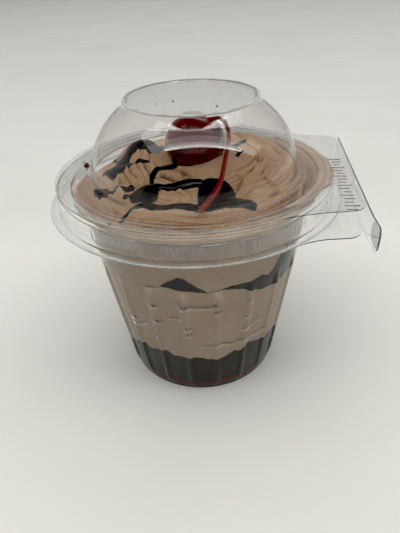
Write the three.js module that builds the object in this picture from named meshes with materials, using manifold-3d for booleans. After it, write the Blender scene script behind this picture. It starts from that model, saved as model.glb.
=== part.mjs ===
// Chocolate mousse dessert, piped into a clear fluted cup with a domed, tear-strip lid.
//
// Millimetres, +Z up, origin on the cup's axis at its flat base. The pull tab's side is +X and
// the front is -Y. An azimuth is counted from +X, counter-clockwise seen from above.

import * as THREE from "three";
import { mergeVertices } from "three/addons/utils/BufferGeometryUtils.js";
import Module from "manifold-3d";

const wasm = await Module();
wasm.setup();

// ---------------------------------------------------------------- driving dimensions

const GAP = 0.3; // clearance between neighbouring pieces
const WALL = 0.6; // wall of the cup
const LID_WALL = 0.5; // wall of the lid

// Cup body: a plain cone with flutes
const BODY_FOOT = 31.24; // outer radius of the cone at the base
const BODY_SLOPE = 0.1639; // radius gained for each millimetre of height
const FLOOR_TOP = 1.4;
const FLOOR_EDGE = BODY_FOOT - 1.3; // radius of the floor inside
const FOOT_CORNER = 0.6;
const STAND_DISC = 9; // outer radius of the disc that the cup stands on
const STAND_RING = 28.5; // inner radius of the ring that it stands on
const CHANNEL = 0.8; // depth of the channel between them
const FLUTES = 20;
const FLUTE_START = -9.3; // azimuth of the first flute
const FLUTE_WIDTH = 6; // degrees
const FLUTE_DEPTH = 0.8;
const FLUTE_LOW = 4; // full depth from here
const FLUTE_HIGH = 54; // to here
const FLUTE_FADE = 3.5; // height over which a flute dies out

// Cup mouth, guard band and flange
const SHOULDER = 77.6; // where the body steps out to the mouth
const MOUTH = 46.2; // inner radius of the mouth
const RIM_TOP = 85;
const GUARD = 51.9; // outer radius of the guard band
const FLANGE = 55.3;
const FLANGE_TOP = 77;

// Lid
const BRIM = 52;
const BRIM_TOP = 86.6;
const DOME = 38.4; // greatest outer radius of the dome
const DOME_LEVEL = 87.5; // height of that greatest radius
const DOME_RISE = 30.39; // vertical half axis of the dome's ellipse
const NECK = 110.6; // height where the dome meets its flat top
const TOP_RIM = 24.4;
const HEIGHT = 113.3;
const TOP_SUNK = 1; // the flat top lies this far below its raised edge
const PLUG_DEPTH = 2.6; // how far the plug reaches into the mouth
const PLUG_WIDTH = 1.9;
const LID_SIDES = 32;

// Tabs, on the side that the lid opens from. A reach is measured from the cup's axis.
const TAB_TURN = -6.1; // azimuth that the tabs point to
const TAB_REACH = 57.6; // straight outer edge
const TAB_MIDDLE = -2.1; // the tabs sit this far off their own centre line
const TAB_HALF = 34.3; // half width at the outer edge
const TAB_FLARE = 1.2; // how much wider they are where their sides start
const TAB_SIDE = 46; // reach where the straight sides start
const TAB_CORNER = 4.5;
const FILLET_REACH = 30.5; // where the fillets leave the round edge
const FILLET_PULL = 38.5; // reach and half width of the point that bends a fillet
const FILLET_HALF = 37;

// Tear strip: an upright band beyond the tabs, with a pull tab past its front end
const STRIP_BACK = 32;
const STRIP_FRONT = -40;
const PULL_END = -50.5;
const PULL_RISE = 1; // the pull tab's top edge stands this far above the strip
const PULL_FOOT = 2.3; // and its foot this far above the strip's

// Contents, from the floor up
const JELLY_TOP = 4.3;
const CHOCOLATE_TOP = 20.8;
const LOWER_TOP = 56.4;
const SAUCE_THIN = 0.5; // least thickness of the sauce between the two mousses
const SAUCE_MIDDLE = 3; // its thickness inside
const CROWN = 93.8; // top of the swirl
const CROWN_DROP = 13; // how far the swirl falls from there to the wall
const SWIRL_RADIUS = 45.6;
const SWIRL_SPOKES = 64;
const SWIRL_RINGS = 23;
const RIDGE_PITCH = 5.2;
const RIDGE_DEPTH = 1.5;
const RIDGE_STARTS = 6; // ridges that run out to the rim in one turn
const BEAD_SUNK = 0.45; // share of its radius that a bead of sauce sinks into the swirl

// Cherry, its stem and the hollow it rests in
const CHERRY = { x: 0.7, y: -6, z: 99, radius: 10.8, half: 11.4, lean: 18 };
const STEM_RADIUS = 0.85;
const STEM_END = 1.2; // radius of the bruised end
const BOWL = { depth: 3.5, radius: 15 };

// ---------------------------------------------------------------- small helpers

const radians = THREE.MathUtils.degToRad;

// A smooth hump: 1 at 0, falling to 0 at 1 and beyond.
const hump = (t) => (Math.abs(t) < 1 ? 0.5 + 0.5 * Math.cos(Math.PI * t) : 0);

// The signed angle from b to a, between -180 and 180 degrees.
const turn = (a, b) => THREE.MathUtils.euclideanModulo(a - b + 180, 360) - 180;

const smooth = (t) => THREE.MathUtils.smoothstep(t, 0, 1);

const counted = (n, make) => Array.from({ length: n }, (_, i) => make(i));

function atAzimuth(azimuth, radius, height) {
  const a = radians(azimuth);
  return [radius * Math.cos(a), radius * Math.sin(a), height];
}

function bare(geometry) {
  const plain = geometry.index ? geometry.toNonIndexed() : geometry.clone();
  plain.deleteAttribute("normal");
  plain.deleteAttribute("uv");
  return mergeVertices(plain, 1e-4);
}

function toSolid(geometry) {
  const merged = bare(geometry);
  return new wasm.Manifold(
    new wasm.Mesh({
      numProp: 3,
      vertProperties: new Float32Array(merged.attributes.position.array),
      triVerts: new Uint32Array(merged.index.array),
    }),
  );
}

function toGeometry(solid) {
  const mesh = solid.getMesh();
  const geometry = new THREE.BufferGeometry();
  geometry.setAttribute("position", new THREE.BufferAttribute(mesh.vertProperties, 3));
  geometry.setIndex(new THREE.BufferAttribute(mesh.triVerts, 1));
  return geometry;
}

// A turned solid, its axis along Z. The profile holds [radius, height] pairs.
function turned(profile, segments) {
  const points = profile.map(([r, z]) => new THREE.Vector2(r, z));
  return bare(new THREE.LatheGeometry(points, segments).rotateX(Math.PI / 2));
}

// Triangles between two closed rings that may have different numbers of points. The outer ring
// steps first, so that a top and the underside that lies on it are split alike.
function stitch(lower, upper, faces) {
  const angle = (p) => Math.atan2(p.xyz[1], p.xyz[0]);
  const reach = (ring) => Math.hypot(ring[0].xyz[0], ring[0].xyz[1]);
  const start = (ring) => {
    const first = ring.reduce((best, p, i) => (angle(p) < angle(ring[best]) ? i : best), 0);
    return counted(ring.length + 1, (i) => ring[(first + i) % ring.length]);
  };
  const a = start(lower);
  const b = start(upper);
  const late = reach(lower) > reach(upper) ? -1e-6 : 1e-6;
  let i = 0;
  let j = 0;
  while (i < a.length - 1 || j < b.length - 1) {
    const stepA = (i + 1) / (a.length - 1) + late;
    const stepB = (j + 1) / (b.length - 1);
    if (j === b.length - 1 || (i < a.length - 1 && stepA <= stepB)) {
      faces.push(a[i].id, a[i + 1].id, b[j].id);
      i += 1;
    } else {
      faces.push(a[i].id, b[j + 1].id, b[j].id);
      j += 1;
    }
  }
}

// A closed solid from rings listed from the middle of its underside, out and up the wall, and
// back to the middle of its top. The two ends are single points.
function layered(bottom, rings, top) {
  const positions = [];
  const faces = [];
  const keep = (xyz) => {
    positions.push(...xyz);
    return { xyz, id: positions.length / 3 - 1 };
  };
  const low = keep(bottom);
  const kept = rings.map((ring) => ring.map(keep));
  const high = keep(top);
  const first = kept[0];
  const last = kept.at(-1);
  first.forEach((p, i) => faces.push(low.id, first[(i + 1) % first.length].id, p.id));
  for (let k = 0; k < kept.length - 1; k += 1) stitch(kept[k], kept[k + 1], faces);
  last.forEach((p, i) => faces.push(p.id, last[(i + 1) % last.length].id, high.id));
  const geometry = new THREE.BufferGeometry();
  geometry.setAttribute("position", new THREE.Float32BufferAttribute(positions, 3));
  geometry.setIndex(faces);
  return geometry;
}

function piece(name, geometry, colour, roughness, opacity = 1) {
  const material = new THREE.MeshStandardMaterial({ color: colour, roughness, metalness: 0 });
  material.transparent = opacity < 1;
  material.opacity = opacity;
  const mesh = new THREE.Mesh(geometry, material);
  mesh.name = name;
  return mesh;
}

// ---------------------------------------------------------------- cup

const bodyRadius = (z) => BODY_FOOT + BODY_SLOPE * z;
const boreRadius = (z) => bodyRadius(z) - WALL;

// Three columns to a flute: its crest and its two edges.
const FLUTE_STEP = 360 / FLUTES;
const COLUMNS = counted(3 * FLUTES, (i) => {
  const offset = [0, FLUTE_WIDTH / 2, FLUTE_STEP - FLUTE_WIDTH / 2][i % 3];
  return { azimuth: FLUTE_START + FLUTE_STEP * Math.floor(i / 3) + offset, crest: i % 3 === 0 };
});

const fluteDepth = (z) => (z >= FLUTE_LOW && z <= FLUTE_HIGH ? FLUTE_DEPTH : 0);

function cupProfile() {
  const flutesEnd = FLUTE_HIGH + FLUTE_FADE;
  // It stands on a disc in the middle and a ring at the edge, with a shallow channel between.
  const outside = [
    [0, 0],
    [STAND_DISC, 0],
    [STAND_DISC + 2, CHANNEL],
    [STAND_RING - 1.5, CHANNEL],
    [STAND_RING, 0],
    [BODY_FOOT - FOOT_CORNER, 0],
    [bodyRadius(1.6), 1.6],
    [bodyRadius(FLUTE_LOW), FLUTE_LOW],
    [bodyRadius(FLUTE_HIGH), FLUTE_HIGH],
    [bodyRadius(flutesEnd), flutesEnd],
    [bodyRadius(SHOULDER), SHOULDER],
  ];
  const rim = [
    [MOUTH + WALL, SHOULDER + 1.5],
    [MOUTH + WALL, RIM_TOP - WALL],
    [GUARD - 1.4, RIM_TOP - WALL],
    [GUARD - WALL, RIM_TOP - 1.4],
    [GUARD - WALL, FLANGE_TOP - WALL],
    [FLANGE, FLANGE_TOP - WALL],
    [FLANGE, FLANGE_TOP],
    [GUARD, FLANGE_TOP],
    [GUARD, RIM_TOP - 1.2],
    [GUARD - 1.2, RIM_TOP],
    [MOUTH + 1, RIM_TOP],
    [MOUTH, RIM_TOP - 1],
    [MOUTH, SHOULDER + 1.9],
  ];
  const inside = [
    [boreRadius(SHOULDER + 0.3), SHOULDER + 0.3],
    [boreRadius(flutesEnd), flutesEnd],
    [boreRadius(FLUTE_HIGH), FLUTE_HIGH],
    [boreRadius(FLUTE_LOW), FLUTE_LOW],
    [FLOOR_EDGE, FLOOR_TOP],
    [0, FLOOR_TOP],
  ];
  return [...outside, ...rim, ...inside];
}

// The turned cup, its columns moved to the flutes and its flute crests pushed out.
function flutedShell() {
  const profile = cupProfile();
  const points = profile.map(([r, z]) => new THREE.Vector2(r, z));
  const geometry = new THREE.LatheGeometry(points, COLUMNS.length);
  const position = geometry.attributes.position;
  for (let k = 0; k < position.count; k += 1) {
    const column = COLUMNS[Math.floor(k / profile.length) % COLUMNS.length];
    const [radius, height] = profile[k % profile.length];
    const out = column.crest && radius > 0 ? fluteDepth(height) : 0;
    position.setXYZ(k, ...atAzimuth(column.azimuth, radius + out, height));
  }
  return geometry;
}

// ---------------------------------------------------------------- tabs and tear strip

// A tapered plate with two rounded corners, which grows out of a round edge of the given radius.
function tabShape(radius) {
  const rootHalf = Math.sqrt(radius ** 2 - FILLET_REACH ** 2) - 0.2;
  const sideHalf = TAB_HALF + TAB_FLARE;
  const cornerHalf = TAB_HALF + TAB_FLARE / 3;
  const endHalf = TAB_HALF - TAB_CORNER;
  const cornerReach = TAB_REACH - TAB_CORNER;
  const front = (half) => TAB_MIDDLE - half;
  const back = (half) => TAB_MIDDLE + half;
  const shape = new THREE.Shape();
  shape.moveTo(FILLET_REACH, -rootHalf);
  shape.quadraticCurveTo(FILLET_PULL, front(FILLET_HALF), TAB_SIDE, front(sideHalf));
  shape.lineTo(cornerReach, front(cornerHalf));
  shape.quadraticCurveTo(TAB_REACH, front(TAB_HALF), TAB_REACH, front(endHalf));
  shape.lineTo(TAB_REACH, back(endHalf));
  shape.quadraticCurveTo(TAB_REACH, back(TAB_HALF), cornerReach, back(cornerHalf));
  shape.lineTo(TAB_SIDE, back(sideHalf));
  shape.quadraticCurveTo(FILLET_PULL, back(FILLET_HALF), FILLET_REACH, rootHalf);
  shape.closePath();
  return shape;
}

// A tab as a solid between two heights, cut away inside the given radius.
function tabSolid(radius, low, high, clearRadius) {
  const plate = new THREE.ExtrudeGeometry(tabShape(radius), {
    depth: high - low,
    bevelEnabled: false,
    curveSegments: 4,
  });
  plate.translate(0, 0, low).rotateZ(radians(TAB_TURN));
  const core = new THREE.CylinderGeometry(clearRadius, clearRadius, 20, 60).rotateX(Math.PI / 2);
  core.translate(0, 0, low);
  return toSolid(plate).subtract(toSolid(core));
}

function cup() {
  const tab = tabSolid(FLANGE, FLANGE_TOP - WALL, FLANGE_TOP, GUARD - WALL / 2);
  return toGeometry(toSolid(flutedShell()).add(tab));
}

// The upright strip that joins the two tabs, with its pull tab beyond the front corner.
function tearStrip() {
  const low = FLANGE_TOP - WALL;
  const high = BRIM_TOP - 0.3;
  const shape = new THREE.Shape();
  shape.moveTo(STRIP_BACK, low);
  shape.lineTo(STRIP_BACK, high);
  shape.lineTo(STRIP_FRONT, high);
  shape.lineTo(PULL_END + 3, high + PULL_RISE);
  shape.quadraticCurveTo(PULL_END, high + PULL_RISE, PULL_END, high - 2.5);
  shape.lineTo(PULL_END + 0.9, low + PULL_FOOT + 2);
  shape.quadraticCurveTo(PULL_END + 1.2, low + PULL_FOOT, PULL_END + 4, low + PULL_FOOT);
  shape.lineTo(STRIP_FRONT - 1, low + 1.4);
  shape.lineTo(STRIP_FRONT + 6, low);
  shape.closePath();
  const strip = new THREE.ExtrudeGeometry(shape, {
    depth: WALL,
    bevelEnabled: false,
    curveSegments: 5,
  });
  // The shape's x runs along the tabs' outer edge and its y is height.
  const place = new THREE.Matrix4().makeBasis(
    new THREE.Vector3(0, 1, 0),
    new THREE.Vector3(0, 0, 1),
    new THREE.Vector3(1, 0, 0),
  );
  strip.applyMatrix4(place).translate(TAB_REACH + GAP, 0, 0).rotateZ(radians(TAB_TURN));
  return bare(strip);
}

// ---------------------------------------------------------------- lid

// Outer radius of the dome at a height between its foot and its neck.
const domeRadius = (z) => DOME * Math.sqrt(1 - ((z - DOME_LEVEL) / DOME_RISE) ** 2);

function lid() {
  const levels = [NECK - 2.4, NECK - 6.1, NECK - 11.1, NECK - 16.6];
  const foot = BRIM_TOP + 0.8;
  const top = HEIGHT - TOP_SUNK;
  const outside = [
    [0, top],
    [TOP_RIM - 1.9, top],
    [TOP_RIM - 1.1, HEIGHT],
    [TOP_RIM - 0.2, HEIGHT - 0.4],
    [TOP_RIM, NECK + 0.5],
    [domeRadius(NECK), NECK],
    ...levels.map((z) => [domeRadius(z), z]),
    [DOME + 0.3, foot],
    [DOME + 2, BRIM_TOP],
  ];
  // The plug is a narrow channel that drops into the cup's mouth.
  const plugLow = BRIM_TOP - PLUG_DEPTH;
  const plugOut = MOUTH - GAP - 0.2;
  const plugIn = plugOut - PLUG_WIDTH;
  const brim = [
    [plugIn + LID_WALL, BRIM_TOP],
    [plugIn + LID_WALL + 0.2, plugLow + LID_WALL],
    [plugOut - LID_WALL, plugLow + LID_WALL],
    [plugOut - LID_WALL + 0.1, BRIM_TOP],
    [BRIM, BRIM_TOP],
    [BRIM, BRIM_TOP - LID_WALL],
    [plugOut, BRIM_TOP - LID_WALL],
    [plugOut, plugLow],
    [plugIn + 0.2, plugLow],
    [plugIn, BRIM_TOP - LID_WALL],
  ];
  const inside = [
    [DOME + 1.7, BRIM_TOP - LID_WALL],
    [DOME - 0.3, foot],
    ...levels.reverse().map((z) => [domeRadius(z) - LID_WALL, z]),
    [domeRadius(NECK) - LID_WALL - 0.3, NECK - 0.3],
    [TOP_RIM - LID_WALL, NECK + 0.6],
    [TOP_RIM - LID_WALL - 0.2, HEIGHT - 0.9],
    [TOP_RIM - 1.4, HEIGHT - 1.3],
    [TOP_RIM - 2, top - LID_WALL],
    [0, top - LID_WALL],
  ];
  const profile = [...outside, ...brim, ...inside].reverse();
  const shell = toSolid(turned(profile, LID_SIDES));
  return toGeometry(shell.add(tabSolid(BRIM, BRIM_TOP - LID_WALL, BRIM_TOP, BRIM - 1)));
}

// ---------------------------------------------------------------- layers in the cup

// How far out the contents reach at a height. They fill the flutes, except near their ends.
function fillRadius(z, column) {
  const filled = z > FLUTE_LOW + 0.2 && z < FLUTE_HIGH - 4;
  const corner = (FLOOR_EDGE - boreRadius(FLUTE_LOW)) / (FLOOR_TOP - FLUTE_LOW);
  const wall = z < FLUTE_LOW ? boreRadius(FLUTE_LOW) + corner * (z - FLUTE_LOW) : boreRadius(z);
  return wall - GAP + (column.crest && filled ? FLUTE_DEPTH : 0);
}

// Wavy levels: each is flat in the middle and its waves grow towards the wall.
function jellyTop(a, s) {
  const wave = Math.cos(radians(a + 140)) + 0.6 * Math.cos(radians(3 * a + 30));
  return JELLY_TOP + s ** 2 * wave;
}

function chocolateTop(a, s) {
  const wave = 1.3 * Math.cos(radians(2 * (a + 50))) + 0.9 * Math.cos(radians(7 * a));
  return CHOCOLATE_TOP + s ** 2 * wave;
}

// The lower mousse dips where the sauce is deepest and has a small crest beside the dip.
function lowerTop(a, s) {
  const dip = 5.2 * hump(turn(a, -42) / 42);
  const crest = 1.5 * hump(turn(a, -103) / 16);
  const wave = 0.6 * Math.cos(radians(3 * a));
  return LOWER_TOP + s ** 2 * (crest - dip + wave);
}

// The sauce stands against the wall in wedges: [azimuth, half width in degrees, height].
const SAUCE_WEDGES = [
  [-101, 13, 6.6],
  [-68, 15, 2.6],
  [-38, 24, 13],
  [35, 22, 7],
  [88, 16, 4],
  [150, 26, 8],
  [-160, 14, 3],
];

function sauceTop(a, s) {
  const wall = SAUCE_WEDGES.reduce(
    (sum, [middle, half, height]) => sum + height * Math.max(0, 1 - Math.abs(turn(a, middle)) / half),
    SAUCE_THIN,
  );
  return lowerTop(a, s) + GAP + THREE.MathUtils.lerp(SAUCE_MIDDLE, wall, s ** 3);
}

// The points of one level, at the share s of the way from the axis to the wall.
function levelRing(level, s) {
  return COLUMNS.map((column) => {
    const z = level(column.azimuth, s);
    return atAzimuth(column.azimuth, s * fillRadius(z, column), z);
  });
}

const wallRing = (z) => levelRing(() => z, 1);

// A layer's flat faces have two rings: one at this share of the way out, and one at the wall.
const SHARES = [0.6, 1];

// A layer of the dessert between two levels, with extra rings on its wall.
function dessertLayer(bottom, top, wallHeights = []) {
  const under = (a, s) => bottom(a, s) + GAP;
  return layered(
    [0, 0, under(0, 0)],
    [
      ...SHARES.map((s) => levelRing(under, s)),
      ...wallHeights.map(wallRing),
      ...[...SHARES].reverse().map((s) => levelRing(top, s)),
    ],
    [0, 0, top(0, 0)],
  );
}

// ---------------------------------------------------------------- swirl

// Broad rises and dips: how much, the radius and azimuth of the middle, and how far they reach
// across and round from there.
const RELIEF = {
  lowFront: { rise: -2.7, radius: 35, across: 13, azimuth: -88, round: 80 },
  frontValley: { rise: -3.2, radius: 30, across: 5, azimuth: -88, round: 60 },
  highBack: { rise: 2, radius: 24, across: 14, azimuth: 45, round: 50 },
};

// Ridges drift outwards on the back and the left, and run round the cup at the front.
function ridgeDrift(azimuth) {
  const driftStart = -20;
  const driftSpan = 250;
  const share = THREE.MathUtils.euclideanModulo(azimuth - driftStart, 360) / driftSpan;
  return RIDGE_STARTS * RIDGE_PITCH * smooth(Math.min(1, share));
}

// Depth of the grooves between the ridges. They fade out under the cherry and at the wall.
function grooveDepth(r, azimuth) {
  const wobble = 0.7 * Math.sin(radians(3 * azimuth + 40)) + 0.4 * Math.sin(radians(7 * azimuth));
  const along = (r - ridgeDrift(azimuth) + wobble) / RIDGE_PITCH;
  const groove = 1 - Math.abs(Math.sin(Math.PI * along));
  const fade = smooth((r - 5) / 8) * smooth((SWIRL_RADIUS - 0.6 - r) / 2.5);
  return RIDGE_DEPTH * groove ** 1.5 * fade;
}

// Height of the piped mousse over a point, before anything is laid on it.
function swirlHeight(x, y) {
  const r = Math.hypot(x, y);
  const azimuth = THREE.MathUtils.radToDeg(Math.atan2(y, x));
  const crown = CROWN - CROWN_DROP * (r / SWIRL_RADIUS) ** 3.2;
  const relief = Object.values(RELIEF).reduce(
    (sum, { rise, radius, across, azimuth: middle, round }) =>
      sum + rise * hump((r - radius) / across) * hump(turn(azimuth, middle) / round),
    0,
  );
  const bowl = BOWL.depth * hump(Math.hypot(x - CHERRY.x, y - CHERRY.y) / BOWL.radius);
  return crown + relief - bowl - grooveDepth(r, azimuth);
}

function swirlBase() {
  const under = (a, s) => sauceTop(a, s) + GAP;
  const spokes = counted(SWIRL_SPOKES, (i) => (360 / SWIRL_SPOKES) * i - 180);
  const wallRound = (r, height) => spokes.map((a) => atAzimuth(a, r, height));
  const reliefRings = counted(SWIRL_RINGS - 1, (i) => {
    const r = SWIRL_RADIUS * (1 - (i + 1) / SWIRL_RINGS);
    return spokes.map((a) => {
      const [x, y] = atAzimuth(a, r, 0);
      return [x, y, swirlHeight(x, y)];
    });
  });
  return layered(
    [0, 0, under(0, 0)],
    [
      ...SHARES.map((s) => levelRing(under, s)),
      wallRound(boreRadius(SHOULDER) - 2 * GAP, SHOULDER - 0.1),
      wallRound(SWIRL_RADIUS, SHOULDER + 2.6),
      wallRound(SWIRL_RADIUS, CROWN - CROWN_DROP),
      ...reliefRings,
    ],
    [0, 0, swirlHeight(0, 0)],
  );
}

// Sauce piped over the swirl: half width, then the points it passes over.
const DRIZZLE = {
  leftLoop: [1.6, [-32, -7.5], [-28.5, -11.5], [-26.2, -6], [-25.5, 5], [-19, 11], [-13, 4]],
  leftHook: [0.8, [-25, 5], [-24, -8.5], [-21.5, -7.5], [-18.5, -6], [-15, -8]],
  leftRim: [1.2, [-34.5, -14.5], [-30.7, -19.7], [-27.6, -22], [-27, -20], [-21.5, -21.7]],
  frontLine: [1.2, [-26.2, -31.4], [-18.6, -30.5], [-8.6, -33], [0, -33.8], [8, -34]],
  thickLine: [2.1, [-22.5, -27], [-18, -24.2], [-14.5, -22], [-13, -18], [-9, -17]],
  middleLine: [1.3, [-14, -23.5], [-8.4, -24.7], [0, -25.6], [6, -25]],
  rightLobe: [2.2, [10, -31], [16, -32]],
  rightHook: [0.9, [19, 6], [14, -1], [17.5, -7.3], [15, -11.8]],
};

// Pools of sauce: centre, and half widths across, along and up.
const POOLS = [
  { x: 6.2, y: -28.5, across: 6.2, along: 6.6, up: 1.6 },
  { x: -20, y: -26, across: 4.2, along: 3, up: 1.5 },
];

// A round bead along points dropped on the swirl, sunk a little into it.
function drizzleLine([half, ...points]) {
  const plan = new THREE.CatmullRomCurve3(points.map(([x, y]) => new THREE.Vector3(x, y, 0)));
  const steps = Math.ceil(plan.getLength() / 3.5);
  const path = plan.getSpacedPoints(steps);
  path.forEach((p) => p.setZ(swirlHeight(p.x, p.y) - BEAD_SUNK * half));
  const section = new THREE.Shape();
  section.absarc(0, 0, half, 0, 2 * Math.PI);
  return toSolid(
    new THREE.ExtrudeGeometry(section, {
      steps,
      curveSegments: 3,
      extrudePath: new THREE.CatmullRomCurve3(path),
    }),
  );
}

function pool({ x, y, across, along, up }) {
  const blob = new THREE.SphereGeometry(1, 12, 7).rotateX(Math.PI / 2).scale(across, along, up);
  const lean = Math.atan2(swirlHeight(x, y + 3) - swirlHeight(x, y - 3), 6);
  blob.rotateX(lean).translate(x, y, swirlHeight(x, y) + 0.2 * up);
  return toSolid(blob);
}

// The piped mousse with its sauce, cut clear of the cherry that rests in it.
function swirl() {
  const toppings = [...Object.values(DRIZZLE).map(drizzleLine), ...POOLS.map(pool)];
  const dressed = toppings.reduce((body, topping) => body.add(topping), toSolid(swirlBase()));
  return toGeometry(dressed.subtract(cherrySolid(GAP)));
}

// ---------------------------------------------------------------- cherry

// The stem leaves the top of the cherry, bends over its right side and hangs to the front.
const STEM = [
  [4.2, -6, 108.4],
  [8.2, -6.3, 108.2],
  [11, -8.5, 106.6],
  [12.3, -12, 102.2],
  [11.8, -16, 97],
  [9.6, -21, 93.8],
  [7, -27.6, 90.4],
  [3.6, -32.4, 88.3],
  [0.3, -36.4, 86],
];

// The hollow round the root of the stem. Its spread is an angle at the middle of the fruit.
const DIMPLE = { depth: 1.8, spread: 0.4 };

// The cherry, its stem and the bruised end of the stem, all grown by a clearance.
function cherrySolid(clearance) {
  const steps = 10;
  const profile = counted(steps + 1, (i) => {
    const t = Math.PI * (1 - i / steps);
    const dimple = DIMPLE.depth * Math.exp(-((t / DIMPLE.spread) ** 2));
    const radius = i === 0 || i === steps ? 0 : (CHERRY.radius + clearance) * Math.sin(t);
    return [radius, (CHERRY.half + clearance) * Math.cos(t) - dimple];
  });
  const fruit = turned(profile, 16).rotateY(radians(CHERRY.lean));
  fruit.translate(CHERRY.x, CHERRY.y, CHERRY.z);
  const section = new THREE.Shape();
  section.absarc(0, 0, STEM_RADIUS + clearance, 0, 2 * Math.PI);
  const stem = new THREE.ExtrudeGeometry(section, {
    steps: 14,
    curveSegments: 3,
    extrudePath: new THREE.CatmullRomCurve3(STEM.map((p) => new THREE.Vector3(...p))),
  });
  const end = new THREE.SphereGeometry(STEM_END + clearance, 8, 5).translate(...STEM.at(-1));
  return [fruit, stem, end].map(toSolid).reduce((all, next) => all.add(next));
}

const cherry = () => toGeometry(cherrySolid(0));

// ---------------------------------------------------------------- the dessert

const dessert = new THREE.Group();
dessert.add(
  piece("cup", cup(), 0xe4e8e6, 0.08, 0.25),
  piece("lid", lid(), 0xe4e8e6, 0.08, 0.25),
  piece("tear_strip", tearStrip(), 0xd8dcda, 0.25, 0.4),
  piece("cherry_jelly", dessertLayer(() => FLOOR_TOP, jellyTop), 0x5a1712, 0.25),
  piece("chocolate_base", dessertLayer(jellyTop, chocolateTop), 0x2e2622, 0.4),
  piece(
    "mousse_lower",
    dessertLayer(chocolateTop, lowerTop, [FLUTE_HIGH - 5, FLUTE_HIGH - 3.5]),
    0x9c8577,
    0.7,
  ),
  piece("sauce_layer", dessertLayer(lowerTop, sauceTop), 0x2b2422, 0.35),
  piece("mousse_swirl", swirl(), 0xa88f80, 0.65),
  piece("cherry", cherry(), 0x6e0d12, 0.2),
);

export default dessert;
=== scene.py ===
# %% [markdown]
# # A chocolate mousse in its clear lidded cup
#
# A dessert pack is two things at once: very thin clear sheet, which shows only by its edges and
# its reflections, and soft food that was squeezed against that sheet. So this lesson makes the
# sheet as real thin walls, and the food as solid layers that reach just into the walls. Between
# the two there is then no air gap, which is what makes food behind clear plastic look wet.
#
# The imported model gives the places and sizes. It is loaded first and never moved.

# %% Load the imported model
import math

import bpy
import numpy as np
from mathutils import Matrix, Vector


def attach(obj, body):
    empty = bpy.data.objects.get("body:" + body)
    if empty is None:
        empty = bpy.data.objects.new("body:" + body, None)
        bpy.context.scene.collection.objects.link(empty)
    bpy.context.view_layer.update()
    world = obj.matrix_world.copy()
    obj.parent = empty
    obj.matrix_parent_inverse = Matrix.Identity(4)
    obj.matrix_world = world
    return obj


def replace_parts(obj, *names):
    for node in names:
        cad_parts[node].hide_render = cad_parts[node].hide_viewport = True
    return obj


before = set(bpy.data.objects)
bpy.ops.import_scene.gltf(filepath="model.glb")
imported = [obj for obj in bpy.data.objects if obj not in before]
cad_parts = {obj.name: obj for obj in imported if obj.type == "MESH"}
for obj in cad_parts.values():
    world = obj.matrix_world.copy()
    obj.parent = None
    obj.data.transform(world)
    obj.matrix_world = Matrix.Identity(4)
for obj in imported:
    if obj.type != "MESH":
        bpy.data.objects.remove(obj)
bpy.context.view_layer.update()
print("nodes:", ", ".join(sorted(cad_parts)))

# %% [markdown]
# ## A few hand tools
#
# Every piece starts as a primitive and is shaped by operators, as by hand. An operator acts on
# all that is selected, so the first tool clears the selection. Sizes are thought of in
# millimetres, because a cup is, and turned into metres where a mesh is written.

# %% Tools for picking a piece and moving its corners
MM = 0.001


def alone():
    """Leave edit mode and deselect everything."""
    if bpy.context.mode != "OBJECT":
        bpy.ops.object.mode_set(mode="OBJECT")
    bpy.ops.object.select_all(action="DESELECT")


def new(name, operator, **settings):
    """Add a primitive, by its operator, as the only selected piece."""
    alone()
    operator(**settings)
    piece = bpy.context.object
    piece.name = name
    piece.data.name = name
    return piece


def choose(piece):
    """Make a piece the only selected one, and the active one."""
    alone()
    piece.select_set(True)
    bpy.context.view_layer.objects.active = piece


def edit_all(piece):
    """Open a piece in edit mode, with all of it selected."""
    choose(piece)
    bpy.ops.object.mode_set(mode="EDIT")
    bpy.ops.mesh.select_all(action="SELECT")


def corners(piece):
    """The corners of a piece, in millimetres."""
    flat = np.empty(3 * len(piece.data.vertices), np.float32)
    piece.data.vertices.foreach_get("co", flat)
    return flat.reshape(-1, 3).astype(float) / MM


def put_corners(piece, points):
    """Move the corners of a piece to these places, in millimetres."""
    piece.data.vertices.foreach_set("co", (points * MM).astype(np.float32).ravel())
    piece.data.update()


# %% Tools for round shapes
SAME_PLACE = 0.00001
def hump(t):
    """1 at 0, falling smoothly to 0 at 1 and beyond."""
    return np.where(np.abs(t) < 1, 0.5 + 0.5 * np.cos(np.pi * np.clip(t, -1, 1)), 0.0)


def smooth(t):
    """0 below 0, 1 above 1, and a smooth step between."""
    t = np.clip(t, 0, 1)
    return t * t * (3 - 2 * t)


def turn(a, b):
    """The signed angle from b to a, between -180 and 180 degrees."""
    return np.mod(a - b + 180, 360) - 180


def polar(points):
    """Radius and azimuth in degrees of points. Azimuth 0 is +X, and the front is at -90."""
    return np.hypot(points[:, 0], points[:, 1]), np.degrees(np.arctan2(points[:, 1], points[:, 0]))


def measured(piece):
    """The corners of a piece, with their radius and azimuth."""
    points = corners(piece)
    return points, *polar(points)


def at(radius, azimuth, height):
    """Points from their radius, azimuth in degrees, and height."""
    a = np.radians(azimuth)
    return np.column_stack([radius * np.cos(a), radius * np.sin(a), height])


def softened(outline, steps=4):
    """Round the corners of a closed outline. A corner may carry a third number, its rounding."""
    result = []
    for i, corner in enumerate(outline):
        here = np.array(corner[:2], float)
        if len(corner) < 3:
            result.append(tuple(here))
            continue
        before = np.array(outline[i - 1][:2], float) - here
        after = np.array(outline[(i + 1) % len(outline)][:2], float) - here
        start = before * min(corner[2] / np.linalg.norm(before), 0.49)
        end = after * min(corner[2] / np.linalg.norm(after), 0.49)
        for k in range(steps + 1):
            t = k / steps
            result.append(tuple(here + (1 - t) ** 2 * start + t**2 * end))
    return result


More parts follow.
